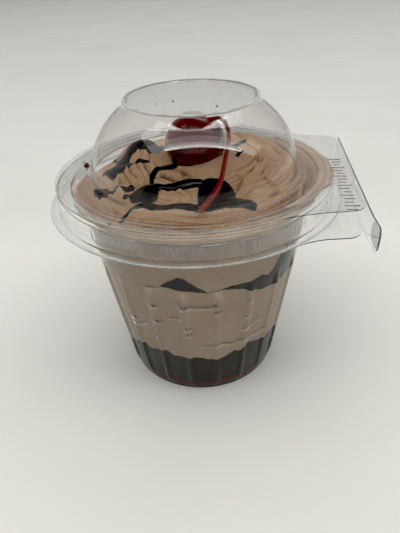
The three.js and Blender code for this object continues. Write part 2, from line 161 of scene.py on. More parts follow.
def tidied(piece):
    """Merge doubles, delete loose corners and edges, and point all faces outwards."""
    edit_all(piece)
    bpy.ops.mesh.remove_doubles(threshold=SAME_PLACE)
    bpy.ops.mesh.delete_loose()
    bpy.ops.mesh.select_all(action="SELECT")
    bpy.ops.mesh.normals_make_consistent(inside=False)
    bpy.ops.object.mode_set(mode="OBJECT")
    return piece


def ring(name, points):
    """A closed line through points: a circle with as many corners, which are then moved."""
    piece = new(name, bpy.ops.mesh.primitive_circle_add, vertices=len(points), radius=0.01)
    put_corners(piece, np.array(points, float))
    return piece


def turned(name, outline, steps):
    """Turn a closed outline of (radius, height) points once round the Z axis."""
    piece = ring(name, [(r, 0.0, z) for r, z in outline])
    lathe = piece.modifiers.new("lathe", "SCREW")
    lathe.steps = steps
    lathe.render_steps = steps
    lathe.use_merge_vertices = True
    lathe.merge_threshold = SAME_PLACE
    bpy.ops.object.modifier_apply(modifier=lathe.name)
    return tidied(piece)


# %% [markdown]
# ## Camera
#
# The dessert is seen from a hand's length away and a little above its lid, looking down by a
# third of a right angle. That is so close that the far side of the rim is clearly smaller than
# the near side. The camera leans over by three degrees, as a held one does.

# %% Place the camera
CAMERA_AT = Vector((0.18, -179.7, 159.3)) * MM
CAMERA_DOWN = 33.35
CAMERA_ROLL = 2.88
FRAME_TALL = 533
FOCAL_PIXELS = 500

camera = new("camera", bpy.ops.object.camera_add)
camera.data.lens = FOCAL_PIXELS / FRAME_TALL * camera.data.sensor_width
camera.data.clip_start = 0.01
camera.matrix_world = (
    Matrix.Translation(CAMERA_AT)
    @ Matrix.Rotation(math.radians(90 - CAMERA_DOWN), 4, "X")
    @ Matrix.Rotation(math.radians(-CAMERA_ROLL), 4, "Z")
)
bpy.context.scene.camera = camera
print(f"lens {camera.data.lens:.2f} mm")

# %% [markdown]
# ## Table and light
#
# The cup stands on a plain pale table. Clear sheet has no colour of its own: what shows is what
# it reflects. So the lamps are panels of a real size, and the dome, the cherry and the sauce
# each carry a clean picture of them. The dome would also mirror the table in front of it, as a
# grey veil over the food. The table is therefore laid in two parts, and the near one is kept out
# of reflections.

# %% Lay the table
TABLE_HALF = 3.0
TABLE_BACK = 4.5
TABLE_SPLIT = -0.14
TABLE_FRONT = -1.5


def plug(tree, node, **values):
    """Set a node's inputs by name. Another node's output is linked to the input instead."""
    for key, value in values.items():
        socket = node.inputs.get(key.replace("_", " "))
        if socket is None:
            setattr(node, key, value)
        elif isinstance(value, bpy.types.NodeSocket):
            tree.links.new(value, socket)
        else:
            socket.default_value = value
    return node


def add(tree, kind, **values):
    """A new node. What isn't the name of an input is a setting of the node itself."""
    return plug(tree, tree.nodes.new("ShaderNode" + kind), **values)


def finish(name, **looks):
    """A new node material, its tree, and its Principled shader with these looks."""
    material = bpy.data.materials.new(name)
    material.use_nodes = True
    tree = material.node_tree
    return material, tree, plug(tree, tree.nodes["Principled BSDF"], **looks)


def noise(tree, scale, detail=2.0):
    """Noise on Object coordinates. The scale is in waves to the metre."""
    place = add(tree, "TexCoord").outputs["Object"]
    return add(tree, "TexNoise", Vector=place, Scale=scale, Detail=detail).outputs["Fac"]


def ramp(tree, source, stops):
    """Colours along a value. Each stop is a place from 0 to 1 and a linear colour."""
    node = add(tree, "ValToRGB", Fac=source)
    elements = node.color_ramp.elements
    while len(elements) < len(stops):
        elements.new(0.5)
    for element, (place, colour) in zip(elements, stops):
        element.position = place
        element.color = (*colour, 1.0)
    return node.outputs["Color"]


def relief(tree, shader, source, depth):
    """Bump on a shader from a value, with its depth in metres."""
    bump = add(tree, "Bump", Strength=1.0, Distance=depth, Height=source)
    plug(tree, shader, Normal=bump.outputs["Normal"])


def table_part(name, front, back):
    """A part of the table between two lines, as wide as the table."""
    part = new(name, bpy.ops.mesh.primitive_plane_add, size=2)
    flat = corners(part) * MM
    flat[:, 0] *= TABLE_HALF
    flat[:, 1] = np.where(flat[:, 1] > 0, back, front)
    put_corners(part, flat / MM)
    part.data.materials.append(pale)
    return part


pale, tree, shader = finish("pale_table", Roughness=0.55)
clouds = ramp(tree, noise(tree, 9.0), [(0.3, (0.72, 0.72, 0.69)), (0.7, (0.76, 0.76, 0.73))])
plug(tree, shader, Base_Color=clouds)
table_part("table", TABLE_SPLIT, TABLE_BACK)
table_part("table_near_viewer", TABLE_FRONT, TABLE_SPLIT).visible_glossy = False

# %% Hang the lamps
# Each panel holds its left, right, front and back edge, in metres from the dessert, and its
# light, which is what a mirror would show. The first two are a wide ceiling light. The next
# three hang under its front edge, where they draw a bright line that fades, and the last two
# are small ones at the sides.
PANEL_HEIGHT = 1.0
PANEL_GAP = 0.01
PANELS = [
    (-0.8, 1.7, -0.445, -0.19, 1.7),
    (-0.8, 1.7, -0.19, -0.04, 0.85),
    (-0.47, 0.95, -0.445, -0.41, 6.0),
    (-0.47, 0.95, -0.41, -0.37, 3.0),
    (-0.47, 0.95, -0.37, -0.31, 1.3),
    (-0.76, -0.4, -0.03, 0.16, 1.9),
    (0.95, 1.6, -0.1, 0.12, 0.9),
]
# Two wider lamps fill in the shadows, one overhead and one behind the viewer. They are kept out
# of reflections, which stay dark and clear. Each holds its edges, height, light and tilt.
FILLS = {
    "overhead_fill": (-1.9, 1.9, -1.0, 2.2, 1.6, 1.0, 0),
    "front_fill": (-0.5, 0.5, -2.0, -1.0, 0.75, 1.55, 65),
}
LAMP_COLOUR = (1.0, 0.985, 0.95)


def panel(name, left, right, front, back, height, light):
    """A rectangular lamp that faces straight down."""
    middle = ((left + right) / 2, (front + back) / 2, height)
    lamp = new(name, bpy.ops.object.light_add, type="AREA", location=middle)
    lamp.data.shape = "RECTANGLE"
    lamp.data.size = right - left
    lamp.data.size_y = back - front
    lamp.data.energy = light * math.pi * (right - left) * (back - front)
    lamp.data.color = LAMP_COLOUR
    return lamp


for index, (*edges, light) in enumerate(PANELS):
    panel(f"panel_{index}", *edges, PANEL_HEIGHT - PANEL_GAP * index, light)
for name, (*edges, height, light, tilt) in FILLS.items():
    lamp = panel(name, *edges, height, light)
    lamp.rotation_euler.x = math.radians(tilt)
    lamp.visible_glossy = False
    lamp.visible_transmission = False
print(f"{len(PANELS)} panels and {len(FILLS)} fills")

# %% [markdown]
# The room around is dim. It is palest low down, behind the dessert and at its sides, and darkest
# above and behind the viewer, and that draws the dome's outline. Light passes many thin walls
# before it comes out again, so it may bounce often.

# %% Paint the room
# Each row holds a place from 0 to 1 and how pale the room is there.
BY_HEIGHT = [(0.50, 1.0), (0.62, 0.9), (0.78, 0.75), (0.90, 0.3), (1.0, 0.12)]
BY_DEPTH = [(0.30, 0.10), (0.46, 0.35), (0.60, 1.0)]
ROOM_LIGHT = 0.42
BLACK_POINT = 0.014
BOUNCES = {"max": 24, "transmission": 24, "transparent_max": 24, "glossy": 8, "diffuse": 12}


def room_share(axis, stops):
    """A grey along one axis of the room, from its low end at 0 to its high end at 1."""
    share = add(room, "MapRange", From_Min=-1.0, Value=directions.outputs[axis])
    return ramp(room, share.outputs["Result"], [(place, (grey,) * 3) for place, grey in stops])


world = bpy.data.worlds.new("room")
world.use_nodes = True
bpy.context.scene.world = world
room = world.node_tree
directions = add(room, "SeparateXYZ", Vector=add(room, "TexCoord").outputs["Generated"])
both = add(room, "VectorMath", operation="MULTIPLY")
room.links.new(room_share("Z", BY_HEIGHT), both.inputs[0])
room.links.new(room_share("Y", BY_DEPTH), both.inputs[1])
plug(room, room.nodes["Background"], Color=both.outputs["Vector"], Strength=ROOM_LIGHT)

tones = bpy.context.scene.view_settings
tones.view_transform = "Standard"
tones.use_curve_mapping = True
tones.curve_mapping.black_level = (BLACK_POINT,) * 3
tones.curve_mapping.update()
paths = bpy.context.scene.cycles
for kind, bounces in BOUNCES.items():
    setattr(paths, f"{kind}_bounces", bounces)
paths.caustics_reflective = False
paths.caustics_refractive = False


# %% [markdown]
# ## Clear sheet
#
# Cup and lid are formed from sheet less than half a millimetre thick. A Principled shader with
# full transmission refracts at both faces of a real wall, so edges and steps draw themselves.
# Where the sheet was stretched round an edge it is a little milky. The same milk-white paint is
# also a painted sheen: it brightens the rim, the guard band, its marks, the flange edge and the
# lid's flat top as their reflections would. Cut edges get a painted dark shade. Both are values
# painted on the mesh. Glass has one weakness, shadow: a renderer without caustics makes it as
# dark as stone. So a ray that only asks about shadow meets a plain transparent shader, tinted a
# little.

# %% Paint a value on a piece
FACING_AWAY = 0.6


def paint(piece, name, values, domain="POINT"):
    """Store one value from 0 to 1 for each corner of a piece, or for each face."""
    layer_of_paint = piece.data.attributes.new(name, "FLOAT", domain)
    layer_of_paint.data.foreach_set("value", np.clip(values, 0, 1).astype(np.float32))


def painted(tree, name):
    """The value that was painted on a piece under this name."""
    return add(tree, "Attribute", attribute_name=name).outputs["Fac"]


def mixed(tree, share, first, second):
    """One colour blended into another by a value from 0 to 1."""
    node = add(tree, "Mix", data_type="RGBA", Factor=share)
    for source, socket in ((first, node.inputs[6]), (second, node.inputs[7])):
        if isinstance(source, tuple):
            socket.default_value = (*source, 1.0)
        else:
            tree.links.new(source, socket)
    return node.outputs[2]


def paint_cut_edge_shade(piece, start, axis):
    """Paint shade on the cut faces of flat sheet beyond a radius: those that don't face along an axis.
    """
    faces = piece.data.polygons
    middle, facing = np.empty(3 * len(faces)), np.empty(3 * len(faces))
    faces.foreach_get("center", middle)
    faces.foreach_get("normal", facing)
    cut = np.abs(facing.reshape(-1, 3) @ np.array(axis)) < FACING_AWAY
    beyond = polar(middle.reshape(-1, 3) / MM)[0] > start
    paint(piece, "edge", 1.0 * (cut & beyond), "FACE")


# %% Mix the clear sheet
SHEET_TINT = (0.985, 0.99, 0.985)
LID_TINT = (0.945, 0.945, 0.94)
SHEET_SHADOW = (0.97, 0.97, 0.965)
MILK_AND_SHEEN_COLOUR = (0.72, 0.72, 0.70)
FULL_MILK_AND_SHEEN = 0.4
CUT_EDGE_SHADE = (0.22, 0.21, 0.20)


def clear_sheet(name, tint, roughness, wave_depth, wave_scale):
    """Clear plastic with soft waves from forming."""
    material, tree, shader = finish(name, Roughness=roughness, IOR=1.5)
    # Milk-white paint: real milkiness where the sheet was stretched, and a painted sheen elsewhere.
    milk_and_sheen_share = painted(tree, "milk_and_sheen")
    colour = ramp(tree, milk_and_sheen_share, [(0.0, tint), (FULL_MILK_AND_SHEEN, MILK_AND_SHEEN_COLOUR)])
    # Cut edges get a painted dark shade.
    colour = mixed(tree, painted(tree, "edge"), colour, CUT_EDGE_SHADE)
    clear = add(tree, "MapRange", Value=milk_and_sheen_share, To_Min=1.0, To_Max=0.0)
    plug(tree, shader, Base_Color=colour, Transmission_Weight=clear.outputs["Result"])
    relief(tree, shader, noise(tree, wave_scale, 1.0), wave_depth)
    shadow = add(tree, "BsdfTransparent", Color=(*SHEET_SHADOW, 1))
    choice = add(tree, "MixShader", Fac=add(tree, "LightPath").outputs["Is Shadow Ray"])
    tree.links.new(shader.outputs["BSDF"], choice.inputs[1])
    tree.links.new(shadow.outputs["BSDF"], choice.inputs[2])
    plug(tree, tree.nodes["Material Output"], Surface=choice.outputs["Shader"])
    return material


cup_sheet = clear_sheet("clear_cup_sheet", SHEET_TINT, 0.03, 0.0001, 120.0)
lid_sheet = clear_sheet("clear_lid_sheet", LID_TINT, 0.015, 0.00004, 60.0)
strip_sheet = clear_sheet("clear_strip_sheet", SHEET_TINT, 0.02, 0.00004, 200.0)

# %% [markdown]
# ## The cup
#
# The cup is vacuum-formed: a plain cone with twenty shallow flutes that stiffen it, a step out
# to the mouth, a rolled rim, a guard band outside and a flange under that. All of it is round
# except the flutes, so the whole section is spun once, inside and outside in one closed
# outline. The flutes are then pushed out in both faces alike, so the wall stays thin.

# %% Sizes of the cup
SHEET = 0.4
BODY_FOOT = 31.24
BODY_SLOPE = 0.1639
FLUTES = 20
FLUTE_START = -9.3
FLUTE_HALF = 3.4
FLUTE_DEPTH = 0.8
FLUTE_LOW = 4.0
FLUTE_HIGH = 57.0
FLOOR_TOP = 1.35
SHOULDER = 77.6
MOUTH = 46.2
RIM_TOP = 85.0
GUARD = 51.9
FLANGE = 55.3
FLANGE_TOP = 76.95
CUP_STEPS = 580
WALL_FIRST = 1.8
WALL_STEP = 2.4


def body_radius(z):
    """Outer radius of the cone."""
    return BODY_FOOT + BODY_SLOPE * z


def flute(azimuth, z):
    """How far the flutes push the wall out."""
    pitch = 360 / FLUTES
    across = turn(azimuth - FLUTE_START + pitch / 2, 0) % pitch - pitch / 2
    along = smooth((z - FLUTE_LOW + 2) / 4) * smooth((FLUTE_HIGH - z) / 4)
    return FLUTE_DEPTH * along * hump(across / FLUTE_HALF) ** 0.8


# %% Outline of the cup
def cup_outline():
    """The cup's section as (radius, height) points, up the outside and down the inside."""
    rows = np.arange(WALL_FIRST, SHOULDER - 1, WALL_STEP)
    foot = [(0, 0), (9.0, 0, 0.8), (10.6, 0.8, 0.8), (27.0, 0.8, 0.8), (28.6, 0, 0.8)]
    corner = [(body_radius(0), 0, 1.6)]
    wall_outside = [(body_radius(z), z) for z in rows]
    mouth_outside = [
        (body_radius(SHOULDER), SHOULDER, 0.8),
        (46.6, 78.6, 0.8),
        (46.7, 84.55, 0.4),
        (51.4, 84.55, 0.8),
        (51.45, 76.6, 0.6),
        (FLANGE, 76.6, 0.2),
        (FLANGE, FLANGE_TOP, 0.2),
        (FLANGE - 0.55, FLANGE_TOP + 0.15, 0.4),
        (FLANGE - 1.2, FLANGE_TOP - 0.05, 0.3),
        (GUARD, FLANGE_TOP - 0.05, 0.6),
    ]
    band = [(GUARD, z) for z in (78.6, 79.4, 79.8, 80.6, 81.8, 82.3, 82.7, 83.4)]
    rim = [
        (GUARD, RIM_TOP, 1.2),
        (MOUTH, RIM_TOP, 0.9),
        (MOUTH - 0.1, 79.0, 0.8),
        (body_radius(SHOULDER) - SHEET + 0.1, SHOULDER + 0.4, 0.8),
    ]
    wall_inside = [(body_radius(z) - SHEET, z) for z in rows[::-1]]
    floor = [(body_radius(0) - 1.0, FLOOR_TOP, 0.8), (28.3, FLOOR_TOP), (0, FLOOR_TOP)]
    return softened(foot + corner + wall_outside + mouth_outside + band + rim + wall_inside + floor)


# %% [markdown]
# The guard band of such a cup carries small raised marks. Here they are a plain row of short
# upright ribs, made by moving the band's own corners out a little.

# %% Spin the cup and push out its flutes
STEP_TURN = 360 / CUP_STEPS
MARK_HEIGHT = 0.06
MARK_GLINT = 0.3
MARK_LOW = 79.5
SHORT_MARK_LOW = 80.7
MARK_TOP = 82.6
MARK_SPREAD = 62
FOOT_RING = 28.9


def guard_marks(azimuth, z):
    """Short upright ribs on the guard band, every third step round, in groups."""
    index = np.round(azimuth / STEP_TURN).astype(int)
    low = np.where(index // 3 % 4 == 1, SHORT_MARK_LOW, MARK_LOW)
    along = (z > low) & (z < MARK_TOP)
    groups = (index // 3 % 11 < 8) & (np.abs(turn(azimuth, -90)) < MARK_SPREAD)
    return MARK_HEIGHT * ((index % 3 == 0) & along & groups)


cup_shell = turned("cup_shell", cup_outline(), CUP_STEPS)
points, radius, azimuth = measured(cup_shell)
height = points[:, 2]
radius = radius + np.where(radius > FOOT_RING, flute(azimuth, height), 0)
radius = radius + np.where(radius > GUARD - 0.1, guard_marks(azimuth, height), 0)
put_corners(cup_shell, at(radius, azimuth, height))
print(f"{len(points)} corners in the cup's wall")

# %% [markdown]
# ## Tabs
#
# Two flat tabs, one above the other, stick out on the side where the pack opens. Each is a
# plate with rounded corners whose sides sweep into the round edge. A plate starts as a circle,
# its corners are moved to the outline, and it is filled and extruded. The tab is welded on by a
# Boolean union, because in clear sheet any face left inside would show as a line.

# %% Cut a tab
TAB_TURN = -6.1
TAB_REACH = 57.6
TAB_MIDDLE = -2.1
TAB_HALF = 34.3
TAB_FLARE = 1.2
TAB_SIDE = 46.0
TAB_CORNER = 6.5
FILLET_REACH = 30.5
FILLET_PULL = 38.5
FILLET_HALF = 37.0
FILLET_STEPS = 12
ROOT_BITE = 0.2


def plate(name, outline, low, high):
    """A flat plate between two heights, from a closed outline of (x, y) points."""
    piece = ring(name, [(x, y, low) for x, y in outline])
    edit_all(piece)
    bpy.ops.mesh.edge_face_add()
    rise = (0, 0, (high - low) * MM)
    bpy.ops.mesh.extrude_region_move(TRANSFORM_OT_translate={"value": rise})
    return tidied(piece)


def tab(name, root_radius, keep_out, low, high):
    """One tab, from the front side round its outer edge to the back, and back along the rim."""
    root = math.sqrt(root_radius**2 - FILLET_REACH**2) - ROOT_BITE
    front, back = [], []
    for k in range(FILLET_STEPS + 1):
        t = k / FILLET_STEPS
        start, pull, end = (1 - t) ** 2, 2 * t * (1 - t), t * t
        x = start * FILLET_REACH + pull * FILLET_PULL + end * TAB_SIDE
        y = start * root + pull * FILLET_HALF + end * (TAB_HALF + TAB_FLARE)
        shift = TAB_MIDDLE * t * (2 - t)
        front.append((x, shift - y))
        back.append((x, shift + y))
    outer = [(TAB_REACH, TAB_MIDDLE + side * TAB_HALF, TAB_CORNER) for side in (-1, 1)]
    outer = softened([front[-1], *outer, back[-1]], steps=8)
    spread = math.degrees(math.atan2(root, FILLET_REACH)) - 1.5
    rim = at(keep_out, np.linspace(spread, -spread, 40), np.zeros(40))
    outline = front[:-1] + outer + back[-2::-1] + [(x, y) for x, y, _ in rim]
    a = math.radians(TAB_TURN)
    across, along = math.cos(a), math.sin(a)
    outline = [(x * across - y * along, x * along + y * across) for x, y in outline]
    return plate(name, outline, low, high)


def weld(piece, tool):
    """Join a tool into a piece, with nothing left inside, and remove the tool."""
    choose(piece)
    union = piece.modifiers.new("weld", "BOOLEAN")
    union.operation = "UNION"
    union.solver = "MANIFOLD"
    union.object = tool
    before = len(piece.data.polygons)
    bpy.ops.object.modifier_apply(modifier=union.name)
    print(f"{piece.name}: {before} faces, {len(piece.data.polygons)} after the weld")
    bpy.data.objects.remove(tool)


weld(cup_shell, tab("lower_tab", FLANGE, 53.0, 76.55, 76.88))

# %% [markdown]
# ### Shading, milky edges and painted sheen
#
# Large flat faces of clear sheet have to stay still, or the round edges beside them bend what is
# seen through them. Weighted normals do that: each corner leans to the largest of its faces.

# %% Finish the cup
def finished(piece, material, slot, angle=30):
    """Give a piece its material and its smooth shading, and let it ride with the cup."""
    choose(piece)
    bpy.ops.object.shade_smooth_by_angle(angle=math.radians(angle))
    if slot == "clear_plastic":
        weigh = piece.modifiers.new("weigh", "WEIGHTED_NORMAL")
        weigh.keep_sharp = True
        bpy.ops.object.modifier_apply(modifier=weigh.name)
    piece.data.materials.clear()
    piece.data.materials.append(material)
    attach(piece, "root")
    triangles = sum(len(face.vertices) - 2 for face in piece.data.polygons)
    print(f"{piece.name}: {triangles} triangles")
    return piece


def near_ring(radius, azimuth, height, rings):
    """How much milk-white paint, real milk and painted sheen, each corner gets. A ring holds radius,
    height, reach and that amount.
    """
    total = np.zeros(len(radius))
    for r, z, reach, milk_and_sheen_share in rings:
        away = np.hypot(radius - r, height - z)
        total = np.maximum(total, milk_and_sheen_share * hump(away / reach))
    patchy = 0.75 + 0.25 * np.sin(np.radians(azimuth * 7)) * np.sin(np.radians(azimuth * 19 + 50))
    return total * patchy


# The guard band is painted milk-white as a painted sheen, and its marks as painted glints. The rim and
# flange edge are milky, and brighter still as a painted highlight.
BAND_SHEEN = 0.13
CUP_MILK_AND_SHEEN = [(GUARD, RIM_TOP, 1.3, 0.14), (FLANGE - 0.4, FLANGE_TOP, 0.9, 0.45)]
points, radius, azimuth = measured(cup_shell)
height = points[:, 2]
band = (radius > GUARD - 0.3) & (height > FLANGE_TOP + 0.3)
milk_and_sheen_paint = np.maximum(near_ring(radius, azimuth, height, CUP_MILK_AND_SHEEN), BAND_SHEEN * band)
milk_and_sheen_paint = np.maximum(milk_and_sheen_paint, MARK_GLINT * band * (guard_marks(azimuth, height) > 0))
paint(cup_shell, "milk_and_sheen", milk_and_sheen_paint)
paint_cut_edge_shade(cup_shell, FLANGE + 0.4, (0, 0, 1))
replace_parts(finished(cup_shell, cup_sheet, "clear_plastic"), "cup")

# %% [markdown]
# ## The lid
#
# The lid is one sheet too: a flat top that is sunk inside a raised edge, a dome, a brim, and a
# narrow channel that plugs into the mouth. The dome is part of an ellipse, so its outline comes
# from the ellipse's formula, and only the raised edge and the brim need points set by hand.

# %% Sizes and outline of the lid
BRIM = 52.0
BRIM_TOP = 86.6
BEADS = [(46.6, 47.3, 48.0), (49.0, 49.7, 50.4)]
BEAD_HEIGHT = 0.1
DOME = 38.4
DOME_LEVEL = 87.5
DOME_RISE = 30.39
NECK = 110.6
TOP_RIM = 24.4
TOP_SUNK = 0.8
HEIGHT = 113.3
LID_SHEET = 0.32
LID_STEPS = 300


def dome_radius(z):
    """Outer radius of the dome."""
    return DOME * math.sqrt(1 - ((z - DOME_LEVEL) / DOME_RISE) ** 2)


def lid_outline():
    """The lid's section as (radius, height) points, out over its top and back under it."""
    rise = np.sin(np.linspace(np.pi / 2, 0.02, 30))
    levels = DOME_LEVEL + (NECK - 1.2 - DOME_LEVEL) * rise
    dome_outside = [(dome_radius(z), z) for z in levels]
    dome_inside = [(dome_radius(z) - LID_SHEET, z) for z in levels[::-1]]
    top = HEIGHT - TOP_SUNK
    under = BRIM_TOP - LID_SHEET
    top_edge = [
        (0, top),
        (TOP_RIM - 1.7, top, 0.3),
        (TOP_RIM - 1.2, HEIGHT, 0.3),
        (TOP_RIM - 0.1, HEIGHT, 0.4),
        (TOP_RIM, NECK + 0.4, 1.3),
    ]
    brim_over = [(DOME + 0.2, 87.0, 0.4), (40.4, BRIM_TOP, 0.8), (43.0, BRIM_TOP, 0.9)]
    plug_over = [(44.2, 86.1, 0.9), (45.2, 86.1, 0.9), (46.2, BRIM_TOP, 0.9)]
    beads = [(r, up) for bead in BEADS for r, up in zip(bead, (0, BEAD_HEIGHT, 0))]
    beads_over = [(r, BRIM_TOP + up, 0.5) for r, up in beads]
    edge = [(BRIM, BRIM_TOP, 0.2), (BRIM, under, 0.1)]
    beads_under = [(r, under + up, 0.5) for r, up in beads[::-1]]
    plug_under = [(46.3, under, 0.9), (45.3, 85.78, 0.9), (44.1, 85.78, 0.9), (42.9, under, 0.9)]
    brim_under = [(40.2, under, 0.5), (DOME - 0.2, 86.8, 0.4)]
    top_under = [
        (TOP_RIM - LID_SHEET, NECK + 0.4, 1.4),
        (TOP_RIM - LID_SHEET - 0.1, HEIGHT - LID_SHEET, 0.3),
        (TOP_RIM - 1.3, HEIGHT - LID_SHEET, 0.3),
        (TOP_RIM - 1.8, top - LID_SHEET, 0.3),
        (0, top - LID_SHEET),
    ]
    over = top_edge + dome_outside + brim_over + plug_over + beads_over + edge
    return softened(over + beads_under + plug_under + brim_under + dome_inside + top_under, steps=3)


# %% [markdown]
# At the front the sheet doesn't bend sharply under the raised edge: the dome runs up to it in a
# soft, full curve. So once the lid is spun, its corners near the top are moved up there.

# %% Spin the lid
BEND_LEVELS = (0.0, 109.2, 111.0, 112.9, 113.3)
BEND_RAISED = (0.0, 109.2, 112.1, 113.05, 113.3)
BEND_SPREAD = 80
BEND_FADE = 30


def fuller_front(piece):
    """Let the dome rise nearer to the raised edge at the front."""
    points, radius, azimuth = measured(piece)
    front = smooth((BEND_SPREAD - np.abs(turn(azimuth, -90))) / BEND_FADE)
    front = front * (radius > TOP_RIM - 0.5)
    raised = np.interp(points[:, 2], BEND_LEVELS, BEND_RAISED)
    points[:, 2] += front * (raised - points[:, 2])
    put_corners(piece, points)


lid_shell = turned("lid_shell", lid_outline(), LID_STEPS)
fuller_front(lid_shell)
weld(lid_shell, tab("upper_tab", BRIM, 50.9, 86.29, 86.59))

# %% [markdown]
# The upper tab has short ribs pressed along its outer edge, to grip it by. Each is a bevelled
# block, and a loop sets them in a row.

# %% Press the grip ribs
RIB_COUNT = 17
RIB_PITCH = 2.6
RIB_FIRST = -36.0
RIB_LONG = (3.4, 4.6, 2.8)
RIB_WIDE = 0.7
RIB_TALL = 0.5
RIB_REACH = 52.6
RIB_STAGGER = 0.5
TAB_TURNED = Matrix.Rotation(math.radians(TAB_TURN), 4, "Z")


def rib(index):
    """One grip rib on the tab, turned with it."""
    block = new(f"grip_rib_{index}", bpy.ops.mesh.primitive_cube_add, size=1)
    size = np.array([RIB_LONG[index % 3], RIB_WIDE, RIB_TALL])
    out = RIB_REACH + RIB_STAGGER * (index % 2)
    place = np.array([out, RIB_FIRST + RIB_PITCH * index, BRIM_TOP])
    put_corners(block, corners(block) * MM * size + place)
    edit_all(block)
    bpy.ops.mesh.bevel(offset=0.0001, segments=2)
    bpy.ops.object.mode_set(mode="OBJECT")
    block.data.transform(TAB_TURNED)
    return block


ribs = [rib(index) for index in range(RIB_COUNT)]
choose(ribs[0])
for block in ribs:
    block.select_set(True)
bpy.ops.object.join()
weld(lid_shell, ribs[0])

# %% Finish the lid
# The brim, its beads, the dome's foot and the raised edge are milky, partly as a painted sheen. The
# flat top is painted milk-white as a painted sheen.
LID_MILK_AND_SHEEN = [
    (BRIM, BRIM_TOP, 1.2, 0.22),
    (47.3, BRIM_TOP, 0.8, 0.06),
    (49.7, BRIM_TOP, 0.8, 0.10),
    (DOME, 87.0, 1.0, 0.06),
    (TOP_RIM - 0.5, HEIGHT, 1.1, 0.8),
]
TOP_MILK_AND_SHEEN = 0.2
points, radius, azimuth = measured(lid_shell)
height = points[:, 2]
flat_top = (height > NECK + 1.0) & (radius < TOP_RIM - 1.6)
milk_and_sheen_paint = near_ring(radius, azimuth, height, LID_MILK_AND_SHEEN)
paint(lid_shell, "milk_and_sheen", np.maximum(milk_and_sheen_paint, TOP_MILK_AND_SHEEN * flat_top))
paint_cut_edge_shade(lid_shell, BRIM + 0.4, (0, 0, 1))
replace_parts(finished(lid_shell, lid_sheet, "clear_plastic"), "lid")

# %% [markdown]
# ## The tear strip
#
# Beyond the tabs stands an upright strip. It locks the pack, and it is torn off by the pull tab
# at its front end. It is a plate like the tabs, made lying down and then set upright. The pull
# tab has a knurled pad for the fingers: a cube cut into a fine grid, whose top corners are
# lifted by two crossed waves.

# %% Cut the strip and its pull tab
STRIP_LOW = 76.4
STRIP_HIGH = 86.3
STRIP_BACK = 32.0
STRIP_FRONT = -40.0
PULL_END = -50.5
STRIP_REACH = 57.9
STRIP_THICK = 0.5
KNURL_AT = (-45.0, 82.7)
KNURL_SIZE = (8.6, 6.8)
KNURL_LEAN = -0.6
KNURL_CUTS = 40
KNURL_PITCH = 1.5
KNURL_DEEP = 0.22
KNURL_MILK = 0.22


def strip_outline():
    """The strip's outline: how far along the tabs' edge, and how high."""
    return softened(
        [
            (STRIP_BACK, STRIP_LOW, 0.8),
            (STRIP_BACK, STRIP_HIGH, 0.8),
            (STRIP_FRONT, STRIP_HIGH, 2.0),
            (PULL_END, STRIP_HIGH + 1.2, 3.0),
            (PULL_END + 1.0, STRIP_LOW + 2.3, 3.0),
            (STRIP_FRONT - 1.0, STRIP_LOW + 1.4, 2.0),
            (STRIP_FRONT + 6.0, STRIP_LOW, 3.0),
        ],
        steps=6,
    )


def knurl():
    """A pad of small diamonds for the pull tab, lying down like the strip."""
    pad = new("pull_tab_knurl", bpy.ops.mesh.primitive_cube_add, size=1)
    edit_all(pad)
    bpy.ops.mesh.subdivide(number_cuts=KNURL_CUTS)
    bpy.ops.object.mode_set(mode="OBJECT")
    u, v, w = (corners(pad) * MM).T
    along = KNURL_AT[0] + u * KNURL_SIZE[0] * (1 - 3 * v**4) + KNURL_LEAN * v
    up = KNURL_AT[1] + v * KNURL_SIZE[1] * (1 - 3 * u**4)
    diamonds = np.abs(np.sin(np.pi * (along + up) / KNURL_PITCH))
    diamonds = diamonds * np.abs(np.sin(np.pi * (along - up) / KNURL_PITCH))
    inner = STRIP_REACH + 0.5 * STRIP_THICK
    outer = STRIP_REACH + STRIP_THICK + KNURL_DEEP * (0.2 + diamonds)
    put_corners(pad, np.column_stack([along, up, inner + (w + 0.5) * (outer - inner)]))
    return pad


tear_strip = plate("tear_strip_sheet", strip_outline(), STRIP_REACH, STRIP_REACH + STRIP_THICK)
weld(tear_strip, knurl())
lying = corners(tear_strip)
paint(tear_strip, "milk_and_sheen", KNURL_MILK * (lying[:, 2] > STRIP_REACH + STRIP_THICK + 0.01))
put_corners(tear_strip, lying[:, [2, 0, 1]])
paint_cut_edge_shade(tear_strip, 0, (1, 0, 0))
tear_strip.data.transform(TAB_TURNED)
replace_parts(finished(tear_strip, strip_sheet, "clear_plastic"), "tear_strip")

# %% [markdown]
# ## Layers in the cup
#
# Behind the wall lie red jelly, dark chocolate, mousse, a thin run of sauce and mousse again.
# Their edges wander, because the food was spooned and piped. Each layer is turned as a plain
# disc, one high and one wide, and every corner is then moved out to the wall and up to its
# level. The levels are named by a few heights round the cup, and a layer's underside is the
# top of the one below, so no gap can open between them.

# %% A tool for layers
FOOD_BITE = 0.1
LAYER_STEPS = 600
UNIT = 40.0
HEEL = 1.6
HEEL_TOP = 2.6


def food_radius(azimuth, z):
    """The radius that the food fills, a little way into the wall."""
    heel = HEEL * (1 - np.sqrt(np.clip(1 - ((HEEL_TOP - z) / HEEL) ** 2, 0, 1))) * (z < HEEL_TOP)
    cone = body_radius(z) - SHEET + FOOD_BITE + flute(azimuth, z) - heel
    return cone + (MOUTH + FOOD_BITE - cone) * smooth((z - SHOULDER - 0.3) / 1.4)


